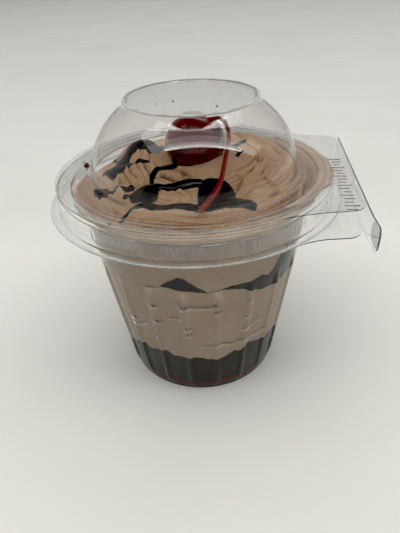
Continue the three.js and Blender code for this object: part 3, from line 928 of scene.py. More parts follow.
def round_level(heights, ripple=0.0, phase=0.0):
    """A level from (azimuth, height) pairs, joined smoothly all the way round."""
    table = sorted(heights)
    table.append((table[0][0] + 360, table[0][1]))
    ends, values = np.array(table, float).T

    def level(azimuth):
        """The height at an azimuth, with three small ripples."""
        wanted = np.mod(azimuth - ends[0], 360) + ends[0]
        i = np.clip(np.searchsorted(ends, wanted, "right") - 1, 0, len(ends) - 2)
        t = (wanted - ends[i]) / (ends[i + 1] - ends[i])
        t = t + 0.5 * (smooth(t) - t)
        a = np.radians(azimuth)
        small = np.sin(23 * a + phase) + 0.7 * np.sin(41 * a + 2 * phase) + 0.5 * np.sin(67 * a)
        return values[i] + (values[i + 1] - values[i]) * t + ripple * small

    return level


def unit_disc(name, rows, shares):
    """A plain disc with rows of corners up its wall, and rings on its top at some shares out."""
    under = [(UNIT * s, 0) for s in np.linspace(0, 1, 4)]
    wall = [(UNIT, UNIT * t) for t in np.linspace(0, 1, rows + 1)[1:-1]]
    over = [(UNIT * s, UNIT) for s in shares]
    return turned(name, under + wall + over, LAYER_STEPS)


def layer(name, bottom, top, rows, dents=None):
    """A layer between two levels. Each level takes azimuth and the share of the way out."""
    piece = unit_disc(name, rows, np.linspace(1, 0, 9))
    points, radius, azimuth = measured(piece)
    share = radius / UNIT
    low = bottom(azimuth, share)
    z = low + (top(azimuth, share) - low) * points[:, 2] / UNIT
    radius = share * food_radius(azimuth, z)
    if dents is not None:
        radius = radius - dents(azimuth, z) * (share > 0.999)
    put_corners(piece, at(radius, azimuth, z))
    return piece


# %% Levels of the layers
jelly_edge = round_level([(-150, 3.6), (-120, 5.6), (-95, 3.9), (-60, 5.2), (0, 3.4), (90, 5)], 0.15)
chocolate_edge = round_level(
    [(-175, 20), (-152, 17), (-132, 22.5), (-128, 20.6), (-115, 23.4), (-110, 20.6), (-102, 20.8)]
    + [(-93, 20.7), (-88, 19.6), (-78, 19.2), (-69, 22), (-66, 21), (-60, 23.8), (-47, 21.6)]
    + [(-20, 20), (0, 22.5), (35, 19.5), (70, 21.8), (110, 20), (150, 22.3)],
    0.16,
    1.3,
)
lower_edge = round_level(
    [(-150, 57), (-122, 57.3), (-111, 58.9), (-98, 57.4), (-87, 56.3), (-80, 57), (-74, 56.3)]
    + [(-68, 55.2), (-63, 53.3), (-56, 51.5), (-45, 50.8), (-32, 51.5), (-10, 55), (20, 57)]
    + [(60, 55), (100, 57), (130, 55), (165, 57)],
    0.1,
    0.4,
)
sauce_rise = round_level(
    [(-150, 0.05), (-111, 0.02), (-107, 2.3), (-104, 4), (-100.6, 6.3), (-98.4, 6.1), (-95, 4)]
    + [(-90, 2), (-86.5, 0.15), (-80, 0.3), (-74, 1.8), (-68, 2.9), (-63, 4.5), (-57, 7.1)]
    + [(-53, 6.2), (-50, 8), (-47, 12), (-43, 17), (-35, 15), (-27, 9), (-15, 2), (0, 0.3)]
    + [(20, 4), (35, 7), (50, 3), (70, 0.4), (88, 4), (104, 0.4), (130, 4), (150, 8), (172, 1)],
)


def filled(middle, edge, power=2):
    """A level from its height in the middle of the cup to its edge at the wall."""
    return lambda azimuth, share: middle + share**power * (edge(azimuth) - middle)


jelly_top = filled(4.3, jelly_edge)
chocolate_top = filled(20.8, chocolate_edge)
lower_top = filled(56.4, lower_edge)
sauce_depth = filled(3.0, lambda azimuth: np.maximum(sauce_rise(azimuth), 0.02), 3)


def sauce_top(azimuth, share):
    """The top of the sauce between the two mousses."""
    return lower_top(azimuth, share) + sauce_depth(azimuth, share)


# %% [markdown]
# Mousse that is pressed against a wall keeps small air pockets. They are moved into the wall of
# the layer: round pits, and long shallow creases where one spoonful lies on the next. A pit
# holds its azimuth, height and size, and a crease the azimuth and height of both its ends.

# %% Pits and creases of the lower mousse
PITS = [
    (-99.6, 49.1, 1.6), (-81, 46.2, 1.5), (-98.3, 37.8, 1.2), (-98.1, 34.4, 1.0),
    (-116.3, 39.7, 1.3), (-119.1, 30.4, 1.4), (-62.7, 40.2, 1.3), (-62.8, 47.6, 1.1),
    (-133.9, 36.4, 1.5), (-83.1, 49.6, 0.9), (-116.5, 47.8, 1.2), (-49.2, 27.2, 1.6),
]
PIT_DEPTH = 1.3
PIT_WIDE = 1.5
CREASES = [
    (-122, 56.6, -110.2, 58.1), (-138.8, 33, -122.6, 36.5), (-103.4, 49.5, -79.3, 48.6),
    (-92.2, 27.4, -47.1, 26.6), (-70, 33, -50, 35), (-112, 44, -100, 42),
]
CREASE_DEPTH = 0.6
CREASE_HALF = 1.1


def pressed_dents(azimuth, z):
    """Depth of the pits and creases at a place on the wall."""
    across = np.radians(1) * body_radius(z)
    depth = np.zeros_like(z)
    wobble = 0.8 * np.sin(np.radians(azimuth * 17)) + 0.5 * np.sin(np.radians(azimuth * 31))
    for a, height, size in PITS:
        away = np.hypot(turn(azimuth, a) * across / PIT_WIDE, (z - height) + 0.3 * wobble)
        depth = np.maximum(depth, PIT_DEPTH * hump(away / size))
    for a1, z1, a2, z2 in CREASES:
        t = np.clip(turn(azimuth, a1) / (a2 - a1), 0, 1)
        line = z1 + (z2 - z1) * t + 0.5 * wobble
        ends = hump((turn(azimuth, (a1 + a2) / 2)) / (abs(a2 - a1) * 0.55))
        depth = np.maximum(depth, CREASE_DEPTH * hump((z - line) / CREASE_HALF) * ends**0.5)
    return depth


# %% Turn the layers
cherry_jelly = layer("jelly_layer", lambda azimuth, share: FLOOR_TOP - FOOD_BITE, jelly_top, 8)
dark_base = layer("dark_chocolate_layer", jelly_top, chocolate_top, 24)
lower_mousse = layer("lower_mousse", chocolate_top, lower_top, 68, pressed_dents)
sauce_between = layer("sauce_between", lower_top, sauce_top, 10)

# %% [markdown]
# ## Finishes for the food
#
# Mousse is a foam: soft light enters it, so it gets some subsurface scattering, a dull sheen and
# a fine grain. Where folds meet, a browner painted shade stands in for the light that bounces
# between their sides, and mousse pressed against the wall gets a paler colour as painted light.
# Chocolate sauce is nearly black, and all its character is its gloss.

# %% Mix the food finishes
PAINTED_SHADE_BROWN = (0.17, 0.085, 0.045)
SHADE_STOPS = (0.35, 0.65)


def mousse_finish(name, open_shades, pressed_lit_shades):
    """Matt foam with a fine grain. Pressed mousse gets a paler colour as painted light, and creases a
    painted brown shade.
    """
    material, tree, shader = finish(
        name,
        Roughness=0.5,
        Specular_IOR_Level=0.2,
        Subsurface_Weight=0.15,
        Subsurface_Radius=(1.0, 0.6, 0.4),
        Subsurface_Scale=0.001,
    )
    patches = noise(tree, 90.0, 3.0)
    fresh = ramp(tree, patches, list(zip(SHADE_STOPS, open_shades)))
    pressed_and_lit = ramp(tree, patches, list(zip(SHADE_STOPS, pressed_lit_shades)))
    colour = mixed(tree, painted(tree, "pressed_and_lit"), fresh, pressed_and_lit)
    colour = mixed(tree, painted(tree, "crease_shade_and_brown"), colour, PAINTED_SHADE_BROWN)
    plug(tree, shader, Base_Color=colour)
    relief(tree, shader, noise(tree, 1400.0, 3.0), 0.00012)
    return material


def sauce_finish(name, colour, roughness, gloss):
    """Dark sauce, a little uneven. Pressed against the sheet it has no gloss of its own."""
    material, tree, shader = finish(name, Roughness=roughness, Specular_IOR_Level=gloss)
    lighter = tuple(1.6 * c for c in colour)
    tint = ramp(tree, noise(tree, 160.0, 2.0), [(0.3, colour), (0.8, lighter)])
    plug(tree, shader, Base_Color=tint)
    relief(tree, shader, noise(tree, 300.0, 1.0), 0.0001)
    return material


# The second pair of shades is paler: painted light for mousse pressed against the wall.
milk_mousse = mousse_finish(
    "milk_mousse",
    [(0.63, 0.415, 0.265), (0.74, 0.50, 0.335)],
    [(0.91, 0.69, 0.50), (0.99, 0.775, 0.585)],
)
dark_sauce = sauce_finish("dark_sauce", (0.004, 0.002, 0.0016), 0.10, 0.4)
pressed_sauce = sauce_finish("pressed_sauce", (0.03, 0.024, 0.021), 0.5, 0.0)
dark_chocolate = sauce_finish("dark_chocolate", (0.022, 0.016, 0.013), 0.5, 0.0)
red_jelly = sauce_finish("red_jelly", (0.14, 0.018, 0.012), 0.3, 0.0)

# %% Finish the layers
# The lower mousse's pits and creases get painted shade, the deeper the darker.
DENT_SHADE = 1.1
points, radius, azimuth = measured(lower_mousse)
height = points[:, 2]
on_wall = radius > 0.97 * food_radius(azimuth, height)
# All of the lower mousse gets the paler pressed colour as painted light.
paint(lower_mousse, "pressed_and_lit", np.ones(len(points)))
paint(lower_mousse, "crease_shade_and_brown", DENT_SHADE * pressed_dents(azimuth, height) * on_wall)

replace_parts(finished(cherry_jelly, red_jelly, "jelly", 60), "cherry_jelly")
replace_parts(finished(dark_base, dark_chocolate, "dark_chocolate", 60), "chocolate_base")
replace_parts(finished(lower_mousse, milk_mousse, "mousse", 60), "mousse_lower")
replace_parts(finished(sauce_between, pressed_sauce, "dark_chocolate", 60), "sauce_layer")

# %% [markdown]
# ## The piped mousse
#
# The mousse was piped round and round, and each rope sank into the last one. What is left is a
# soft hilly surface with folds in it, where one layer ends on top of the next. A list of places
# and their heights gives the hills. Each fold is a line with a sharp drop on one side and a long
# soft fall on the other, and it is those sharp sides that read as creases.

# %% Hills of the top
TOP_RADIUS = 45.6
CHERRY_AT = (0.7, -6.0, 98.0)
# Each place holds x, y and the height there.
HEIGHTS = [
    (0, -6, 88.3), (4, -16, 95.4), (9, -14.5, 96.2), (14, -10, 94.8), (-3, -16, 92.2),
    (-10, -13, 90.4), (-12, -19, 88.8), (5, -21.5, 88.2),
    (7, -26, 86.6), (7, -32, 85.4), (-5, -22, 87.6), (-5, -27, 86.2), (-8, -32, 85.3),
    (-18, -27, 87.2), (-16, -31, 86), (2, -37, 83.6), (-14, -35.5, 83.5), (19, -37, 83.6),
    (0, -41.5, 83.3), (0, -45.5, 82.2), (-14, -40, 83.2), (-15, -43.5, 82.2), (14, -40.5, 83.3),
    (16, -43.5, 82.2), (-23, -35, 84.2), (-30, -30, 84.6), (-35, -22, 85.2), (-38, -12, 85.6),
    (-31, -14, 88.6), (-26, -20, 88.4), (-24, -28, 86.8), (-30, -22, 87), (-22, -10, 91),
    (-26, -4, 91.2), (-31, -3, 89.8), (-20, 0, 92.6), (-17, -12, 90.8), (-12, -6, 91.8), (-18, 9, 95),
    (-23, 9, 93.2), (-13, 5, 92.6), (-32, 5, 88), (-37, 1, 84.8), (-39, 9, 80), (-31, 18, 81.5),
    (-25, 20, 86), (-22, 28, 83), (-14, 15, 92), (-19, 18, 88.5), (0, 14, 92), (-10, 26, 87),
    (0, 26, 89), (10, 20, 91.4), (20, 17, 91.2), (28, 14, 90.4), (15, 31, 86), (-5, 36, 84),
    (30, 26, 86), (38, 15, 86.8), (38, 5, 87.4), (17, -1, 92), (15, -8, 91.4), (25, 0, 91.2),
    (25, -10, 89.8), (18, -15, 89.4), (12, -20, 88.2), (20, -22, 87.8), (30, -10, 88.8), (33, -18, 87),
    (28, -26, 86.2), (20, -30, 86), (36, -5, 87.8), (13, -28, 86.6), (15, -33, 85.6), (27, -34, 84.6),
    (40, -10, 86), (38, -20, 85),
]
HILL_REACH = 3.6
FAR_SHARE = 1e-9
EDGE_FROM = 38.5
EDGE_FADE = 7
rim_edge = round_level(
    [(-151, 82.4), (-144, 81.3), (-135, 81.6), (-128, 81.8), (-109, 82.2), (-93, 82.2)]
    + [(-77, 82.2), (-65, 82), (-49, 81.6), (-37, 82.4), (-28, 83.2), (-10, 84.6), (10, 85)]
    + [(30, 84.4), (60, 82.5), (90, 81.2), (120, 79.4), (150, 78.6), (170, 80.4)],
)


def hill_height(x, y):
    """The top without its folds: the named heights, blended by how near they are."""
    total = np.zeros(x.shape)
    weight = np.zeros(x.shape)
    for px, py, z in HEIGHTS:
        far = (x - px) ** 2 + (y - py) ** 2
        near = np.exp(-far / (2 * HILL_REACH**2)) + FAR_SHARE / (1 + far)
        total += near * z
        weight += near
    z = total / weight
    edge = rim_edge(np.degrees(np.arctan2(y, x)))
    return z + (edge - z) * smooth((np.hypot(x, y) - EDGE_FROM) / EDGE_FADE)


# %% Folds
# Each fold holds the side of its soft fall (1 is left of the way it runs), its height, the length
# of the soft fall, and the points of its crest.
FOLDS = [
    (-1, 0.9, 2.2, (-19.3, -6.5), (-18.1, -11.9), (-16.4, -16), (-15.9, -18.9)),
    (-1, 0.9, 2, (-21.7, -6.8), (-20.5, -12.3), (-18.3, -17.3), (-17.1, -19.2)),
    (-1, 0.9, 2.2, (-24.4, -8.9), (-23.2, -14.3), (-20.6, -18.2), (-19.4, -19.7)),
    (-1, 0.8, 2, (-26.2, -12.5), (-24.9, -16), (-23, -19.2), (-21.7, -20.3)),
    (-1, 0.8, 2, (-16, -6.4), (-14.3, -10.3), (-12.7, -11.8)),
    (-1, 0.7, 1.8, (-26.8, -12.2), (-26.8, -15.3), (-26.9, -18.5)),
    (-1, 1.1, 3, (-26.5, -19.4), (-24.1, -24.9), (-21.1, -30.1)),
    (-1, 0.8, 2.5, (-30.1, -22.2), (-27.8, -26.4), (-25.1, -31)),
    (-1, 0.7, 2.2, (-32, -22.7), (-29.5, -28.1), (-26.7, -33.4)),
    (-1, 0.6, 2.2, (-34.7, -20), (-32.4, -26.2), (-30, -31.1)),
    (-1, 0.7, 2.5, (-35.4, -5.2), (-32.1, -11.4), (-28.4, -19.3)),
    (-1, 0.5, 1.8, (-34, -0.3), (-30.7, -12.2), (-27.6, -19)),
    (-1, 0.5, 1.5, (-20.7, 3.8), (-20.6, -1.1), (-20.6, -4.2)),
    (-1, 0.6, 1.5, (-18.1, 4.1), (-17.5, -0.9), (-16.9, -4.7)),
    (1, 1, 2.6, (-13.8, -16.5), (-11.3, -15.5), (-9.1, -16.8), (-6.5, -18.8), (-4, -19.2)),
    (1, 0.9, 2.6, (-7.2, -13.7), (-4, -15.9), (-0.9, -19), (0.6, -19.6)),
    (-1, 0.7, 1.3, (-9.6, -23.3), (-7.2, -24.8), (-4.2, -28), (-1.2, -31.3)),
    (-1, 0.7, 1.3, (-6.6, -22.5), (-4.1, -24.6), (-1.2, -29.1)),
    (-1, 0.8, 1.8, (-11.8, -23.7), (-8.4, -26.1), (-4.8, -29.5)),
    (-1, 0.8, 3.5, (-24.6, -36.2), (-22, -33.2), (-18.1, -32.8), (-14.5, -33.7), (-7.2, -34.4),
     (1.7, -35.5), (10.4, -35.5), (20.3, -36.4), (24.4, -39.1)),
    (1, 0.5, 1.4, (-21.7, -36.4), (-15.9, -36.5), (-10, -38.2), (-1.4, -39.9), (4.3, -41.4),
     (9.9, -41.9)),
    (1, 0.7, 1.6, (-18.2, -37.7), (-14.7, -39), (-12.4, -39.5), (-9.6, -40.6), (-5.5, -41.3)),
    (1, 1, 1.8, (-11.5, -41.3), (-6.6, -42.2), (-1.5, -43.2), (1.3, -44.1), (4.1, -44.6),
     (9.7, -44.5), (16.4, -43.1)),
    (1, 0.6, 1.3, (-17.2, -40.7), (-12.9, -42.6), (-7.2, -44.3), (-3, -45.1)),
    (-1, 0.9, 3, (15, -7.8), (16.8, -5.6), (19.7, -3.8), (22.6, -3.3), (24.1, -4.3)),
    (-1, 1.3, 3.2, (13, -27.8), (15.7, -24.3), (18.3, -21.2), (21.4, -17.2), (23.9, -12.5),
     (25.9, -6.1), (26.3, -4.6)),
    (-1, 1.2, 3.5, (23.3, -19.2), (25.4, -16.2), (28.2, -12.6), (30.9, -9.7), (32.1, -9.5)),
    (-1, 1.2, 3.2, (16.3, -28.5), (20.2, -27.1), (25, -25.9), (30.3, -24.8), (31.9, -27.6)),
    (-1, 0.9, 2.4, (14.3, -17.8), (17.1, -16), (20.1, -13.2), (22.5, -7.7)),
    (-1, 0.6, 2.2, (20.5, 7.7), (27.6, -0.5), (35.9, -2.1)),
    (-1, 0.6, 2.2, (25.5, 13.3), (33.2, 10.8), (38.8, 3.3)),
    (-1, 0.6, 2.2, (33.4, 28.2), (37.7, 19), (40.8, 11)),
    (-1, 0.9, 1.2, (37.7, -17.4), (35.3, -27.3), (33.7, -33.8)),
    (-1, 0.9, 1.2, (39.2, -19.1), (38.4, -26.6), (36.4, -33.3)),
    (-1, 0.8, 3, (13.7, -24.1), (17.4, -21.3), (19.8, -17.8), (22.6, -11.8)),
    (1, 0.8, 2.5, (-1.7, -5.8), (3.9, -3.8), (7.9, -7.9), (11.6, -7)),
]
FOLD_UP = 1.9
FOLD_DROP = 0.55
FOLD_REACH = 2.4
PATH_STEP = 0.5


def through(points):
    """Points closely spaced on a smooth curve through a few given ones."""
    p = np.array(points, float)
    p = np.vstack([2 * p[0] - p[1], p, 2 * p[-1] - p[-2]])
    found = []
    for a, b, c, d in zip(p[:-3], p[1:-2], p[2:-1], p[3:]):
        n = max(2, math.ceil(np.linalg.norm((c - b)[:2]) / PATH_STEP))
        for t in np.linspace(0, 1, n, endpoint=False):
            slope = (c - a) * t + (2 * a - 5 * b + 4 * c - d) * t**2 + (3 * b - a - 3 * c + d) * t**3
            found.append(b + slope / 2)
    found.append(p[-2])
    return np.array(found)


def in_box(x, y, line, reach):
    """Which points lie in the box round a line."""
    low = line[:, :2].min(0) - reach
    high = line[:, :2].max(0) + reach
    return np.flatnonzero((x > low[0]) & (x < high[0]) & (y > low[1]) & (y < high[1]))


def fold_height(x, y):
    """All folds together."""
    height = np.zeros(x.shape)
    for side, up, soft, *crest in FOLDS:
        line = through(crest)
        here = in_box(x, y, line, FOLD_REACH * soft)
        away = (x[here, None] - line[:, 0]) ** 2 + (y[here, None] - line[:, 1]) ** 2
        nearest = np.argmin(away, axis=1)
        ahead = np.gradient(line, axis=0)[nearest]
        dx, dy = x[here] - line[nearest, 0], y[here] - line[nearest, 1]
        across = side * np.sign(ahead[:, 0] * dy - ahead[:, 1] * dx) * np.hypot(dx, dy)
        soft_side = np.clip(1 - across / (FOLD_REACH * soft), 0, 1) ** 2
        fall = np.where(across > 0, soft_side, smooth(1 + across / FOLD_DROP))
        share = nearest / (len(line) - 1)
        height[here] += FOLD_UP * up * fall * smooth(5 * np.minimum(share, 1 - share))
    return height


# %% [markdown]
# At the back the ropes still show, as a plain spiral with a steep side inwards, and the nozzle
# left fine streaks everywhere. Where the mousse rose too high, the lid has pressed it flat.

# %% Add the ropes at the back and fine streaks
ROPE_PITCH = 5.2
ROPE_DEPTH = 0.7
STREAK_PITCH = 1.5
STREAK_DEPTH = 0.12
LID_GAP = 0.2
LID_SLOPE = 3


def back_ropes(x, y):
    """Height of the ropes that follow the nozzle's spiral, with a steep side inwards."""
    r = np.hypot(x, y)
    a = np.degrees(np.arctan2(y, x))
    drift = 6 * ROPE_PITCH * smooth(np.mod(a + 20, 360) / 250)
    along = np.mod((r - drift) / ROPE_PITCH + 0.15 * np.sin(np.radians(3 * a + 40)), 1.0)
    return ROPE_DEPTH * np.sin(np.pi * along**0.6) * smooth((y - 8) / 8)


def top_height(x, y):
    """Height of the piped mousse over a point, which is never above the lid."""
    r = np.hypot(x, y)
    wave = 2.4 * np.sin(np.radians(5) * np.degrees(np.arctan2(y, x)))
    streaks = STREAK_DEPTH * np.sin(2 * np.pi * r / STREAK_PITCH + wave)
    fade = smooth((TOP_RADIUS - r) / 1.2)
    height = hill_height(x, y) + (fold_height(x, y) + back_ropes(x, y) + streaks) * fade
    ceiling = BRIM_TOP - LID_SHEET - LID_GAP + LID_SLOPE * np.maximum(DOME - 0.6 - r, 0)
    return np.minimum(height, ceiling)


# %% Measure the top once, on a fine grid
TOP_STEP = 0.25
TOP_HALF = 47.0
side = np.arange(-TOP_HALF, TOP_HALF + TOP_STEP, TOP_STEP)
grid_y, grid_x = np.meshgrid(side, side, indexing="ij")
top_grid = top_height(grid_x.ravel(), grid_y.ravel()).reshape(grid_x.shape)


def blurred(field, reach):
    """A field averaged twice over squares that reach so many millimetres each way."""
    cells = round(reach / TOP_STEP)
    for axis in (0, 1, 0, 1):
        shifted = [np.roll(field, k, axis) for k in range(-cells, cells + 1)]
        field = sum(shifted) / len(shifted)
    return field


def sample(field, x, y):
    """A field's value at any place, from the four grid points round it."""
    v = np.clip((y + TOP_HALF) / TOP_STEP, 0, len(side) - 1.001)
    u = np.clip((x + TOP_HALF) / TOP_STEP, 0, len(side) - 1.001)
    i, j = v.astype(int), u.astype(int)
    s, t = v - i, u - j
    near = field[i, j] * (1 - t) + field[i, j + 1] * t
    far = field[i + 1, j] * (1 - t) + field[i + 1, j + 1] * t
    return near * (1 - s) + far * s


# Painted shade: the lower a place lies below what is round it, the darker it is painted.
crease_shade_grid = 1.3 * (blurred(top_grid, 0.75) - top_grid) + 0.6 * (blurred(top_grid, 2.0) - top_grid)
print(f"top between {top_grid.min():.1f} and {top_grid.max():.1f} mm")

# %% [markdown]
# The layer is spun as a plain disc like the others, with many rings on its top, which then take
# their height from the grid. Places that lie lower than what is round them get painted shade,
# and the mousse near the edge on the right is painted browner.

# %% Turn the piped mousse
TOP_RINGS = 118
WALL_ROWS = 29
EDGE_BROWN = 0.45
BROWN_FROM = 36
BROWN_RIGHT = 0.35
EDGE_REACH = MOUTH + FOOD_BITE


def piped_top():
    """The whole upper layer, from the sauce under it to its folds."""
    piece = unit_disc("piped_mousse_top", WALL_ROWS, np.linspace(1, 0, TOP_RINGS) ** 0.85)
    points, radius, azimuth = measured(piece)
    share = radius / UNIT
    on_top = points[:, 2] > UNIT * 0.9999
    x, y, _ = at(share * EDGE_REACH, azimuth, share).T
    low = sauce_top(azimuth, share)
    z = low + (sample(top_grid, x, y) - low) * points[:, 2] / UNIT
    radius = share * np.where(on_top, EDGE_REACH, food_radius(azimuth, z))
    put_corners(piece, at(radius, azimuth, z))
    streaky = 0.7 + 0.3 * np.sin(radius * 2.6 + 3 * np.sin(np.radians(azimuth * 5)))
    right = smooth((x / EDGE_REACH - BROWN_RIGHT) / 0.25)
    brown = EDGE_BROWN * streaky * smooth((radius - BROWN_FROM) / 4) * right
    # Painted shade in the creases, and a browner tone near the edge on the right.
    shade_and_brown_share = (sample(crease_shade_grid, x, y) + brown) * smooth((TOP_RADIUS - radius) / 1.5)
    paint(piece, "crease_shade_and_brown", shade_and_brown_share * on_top)
    # Mousse at the wall gets the paler pressed colour as painted light.
    paint(piece, "pressed_and_lit", np.where(on_top, smooth((radius - TOP_RADIUS + 0.8) / 0.8), 1.0))
    return piece


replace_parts(finished(piped_top(), milk_mousse, "mousse", 80), "mousse_swirl")

# %% [markdown]
# ## Sauce on the mousse
#
# The sauce was drizzled from a bottle. It lies in flat glossy ribbons that widen where the
# bottle slowed, and in two pools. A grid is laid over that part of the top, lifted to the mousse
# plus the sauce's own thickness, and what has no sauce is cut away.

# %% Lines and pools of sauce
# Each line holds (x, y, half width) points.
SAUCE_LINES = [
    [(-11, 4.8, 0.9), (-14.2, 2.2, 2.1), (-16.1, 3.8, 3.2), (-18.1, 6.5, 3.2), (-20.4, 6.8, 3.4),
     (-23, 4.6, 3.2), (-25.6, 1.5, 2.6), (-26.5, -3.4, 2.5), (-26.8, -8.9, 2.6),
     (-28.2, -10.3, 3.6), (-30.7, -10, 2.5)],
    [(-31.4, 7.2, 0.8), (-29.4, 4.2, 1), (-27.1, -2.9, 0.8)],
    [(-25, 1.5, 0.6), (-24.3, -4.6, 0.6), (-23.7, -9.2, 0.6), (-22.9, -8, 0.7),
     (-21.2, -5.9, 0.5), (-20.2, -4.6, 0.8), (-18.9, -5.3, 0.8), (-16.4, -6.2, 0.5)],
    [(-35.4, -17.2, 0.7), (-33.6, -19.3, 1.6), (-31.8, -20.9, 2.1), (-29.7, -21.5, 0.7),
     (-28, -23.1, 0.5), (-27.3, -22, 0.5), (-26.7, -19.8, 0.5), (-25.1, -20.6, 0.5),
     (-23.4, -21.6, 0.8), (-21.9, -21, 1)],
    [(-24.8, -35, 0.8), (-22.6, -33.4, 0.6), (-20.4, -31.8, 0.9), (-18.4, -30.6, 1.3),
     (-16, -30.5, 1.4), (-13.1, -30.9, 1.4), (-10.1, -31.4, 1.4), (-6.5, -31.7, 1.6),
     (-4.2, -32, 1.5), (-0.3, -32.4, 1.8)],
    [(-23.4, -27.4, 1), (-21.2, -26.6, 2.2), (-18.9, -25.3, 3.2), (-16.8, -24.2, 3.8),
     (-15.2, -22.8, 2.7), (-13.4, -21.9, 1.8)],
    [(-16.4, -26.9, 1.6), (-16.5, -31.2, 1)],
    [(-14.8, -21.2, 0.9), (-15, -17.3, 0.8), (-14.2, -14.3, 1.2), (-11.9, -12.1, 1.6),
     (-9.1, -10.9, 1.8), (-7.7, -10, 1.4)],
    [(-13.3, -21.4, 1.6), (-10.9, -21.7, 1.3), (-8.4, -21.8, 1.7), (-6, -21.3, 1.4),
     (-3.4, -21.3, 1.7), (-0.9, -21.6, 1.3), (1.6, -22.1, 1.4)],
    [(11.8, -31.8, 3), (14.3, -32.2, 2.8), (16.4, -32.6, 2.5), (18, -33, 1.8)],
    [(14.3, 4.2, 0.7), (16.3, 5.2, 0.9), (18.6, 9.7, 0.9), (20.4, 11.9, 0.7)],
    [(15.9, 2.4, 0.7), (16.7, -1.2, 1), (17.8, -4.2, 0.8), (16.8, -5.9, 0.9), (15.7, -7.3, 0.7)],
]
# A pool holds its middle, its half widths, and its height, and a dot its middle and half width.
POOLS = [(6.8, -28.2, 6.2, 7.8, 1.2), (-15.6, -24.4, 2.8, 4.2, 1.0)]
POOL_SQUARE = 2.8
DOTS = [(-28.3, -34.9, 0.7)]
DOT_UP = 0.5
SAUCE_UP = 0.85


def swept(x, y, lines):
    """The highest of many round beads along lines of (x, y, half width, height) points."""
    best = np.full(x.shape, -1.0)
    height = np.zeros(x.shape)
    for line in lines:
        here = in_box(x, y, line, 1.5 * line[:, 2].max())
        for px, py, half, up in line:
            near = 1 - ((x[here] - px) ** 2 + (y[here] - py) ** 2) / half**2
            height[here] = np.maximum(height[here], up * np.sqrt(np.maximum(near, 0)))
            best[here] = np.maximum(best[here], near)
    return height, best


def sauce_thickness(x, y):
    """Thickness of sauce over a point. Below zero there is none."""
    lines = [np.array([(*dot, DOT_UP)]) for dot in DOTS]
    for line in SAUCE_LINES:
        path = through(line)
        lines.append(np.hstack([path, SAUCE_UP * (0.5 + 0.35 * path[:, 2:3])]))
    up, inside = swept(x, y, lines)
    for px, py, across, along, rise in POOLS:
        near = 1 - np.abs((x - px) / across) ** POOL_SQUARE - np.abs((y - py) / along) ** POOL_SQUARE
        up = np.maximum(up, rise * np.maximum(near, 0) ** 0.4)
        inside = np.maximum(inside, near)
    return np.where(up > 0, up, np.maximum(inside, -1) * 1.2)


# The sauce fills the creases under it and runs over the crests, so its bed is never below them.
bed_grid = blurred(np.maximum(top_grid, blurred(top_grid, 1.25)), 0.5)


# %% Lay the sauce
SAUCE_LOW = np.array([-40.0, -38.0])
SAUCE_HIGH = np.array([24.0, 16.0])
GRID_STEP = 0.3
SAUCE_EDGE = -0.9
SAUCE_SUNK = 0.6


def cut_away(piece, unwanted):
    """Delete the corners of a piece that a mask names."""
    edit_all(piece)
    bpy.ops.mesh.select_mode(type="VERT")
    bpy.ops.mesh.select_all(action="DESELECT")
    bpy.ops.object.mode_set(mode="OBJECT")
    piece.data.vertices.foreach_set("select", unwanted)
    bpy.ops.object.mode_set(mode="EDIT")
    bpy.ops.mesh.delete(type="VERT")
    bpy.ops.object.mode_set(mode="OBJECT")


def lay_sauce():
    """A grid over the top, lifted to the sauce, cut to its outline and given its thickness."""
    cols, rows = np.ceil((SAUCE_HIGH - SAUCE_LOW) / GRID_STEP).astype(int)
    cells = {"x_subdivisions": int(cols), "y_subdivisions": int(rows)}
    piece = new("sauce_drizzle", bpy.ops.mesh.primitive_grid_add, size=1, **cells)
    flat = corners(piece) * MM + 0.5
    x, y = (SAUCE_LOW + (SAUCE_HIGH - SAUCE_LOW) * flat[:, :2]).T
    thickness = sauce_thickness(x, y)
    kept = thickness > SAUCE_EDGE
    z = np.zeros_like(x)
    z[kept] = sample(bed_grid, x[kept], y[kept]) + thickness[kept]
    put_corners(piece, np.column_stack([x, y, z]))
    cut_away(piece, ~kept)
    edit_all(piece)
    bpy.ops.mesh.extrude_region_move(TRANSFORM_OT_translate={"value": (0, 0, -SAUCE_SUNK * MM)})
    return tidied(piece)


finished(lay_sauce(), dark_sauce, "dark_chocolate", 80)

# %% [markdown]
# ## The cherry
#
# A preserved cherry is a nearly round fruit with a dimple where its stem grows. It is spun from
# one outline, leant over, and laid in the hollow of the mousse. The stem is a curve with its own
# thickness at each point, turned into a mesh, because it bends freely and swells at its end.

# %% Turn the cherry
CHERRY_RADIUS = 10.8
CHERRY_HALF = 11.1
CHERRY_LEAN = 18.0
DIMPLE_DEPTH = 1.8
DIMPLE_SPREAD = 0.4


def cherry_outline():
    """The cherry's section, from its foot to the bottom of its dimple."""
    result = []
    for t in np.linspace(math.pi, 0, 48):
        dimple = DIMPLE_DEPTH * math.exp(-((t / DIMPLE_SPREAD) ** 2))
        result.append((CHERRY_RADIUS * math.sin(t), CHERRY_HALF * math.cos(t) - dimple))
    result[0] = (0, result[0][1])
    result[-1] = (0, result[-1][1])
    return result


cherry_fruit = turned("cherry_fruit", cherry_outline(), 96)
lean = Matrix.Rotation(math.radians(CHERRY_LEAN), 4, "Y")
cherry_fruit.data.transform(Matrix.Translation(Vector(CHERRY_AT) * MM) @ lean)

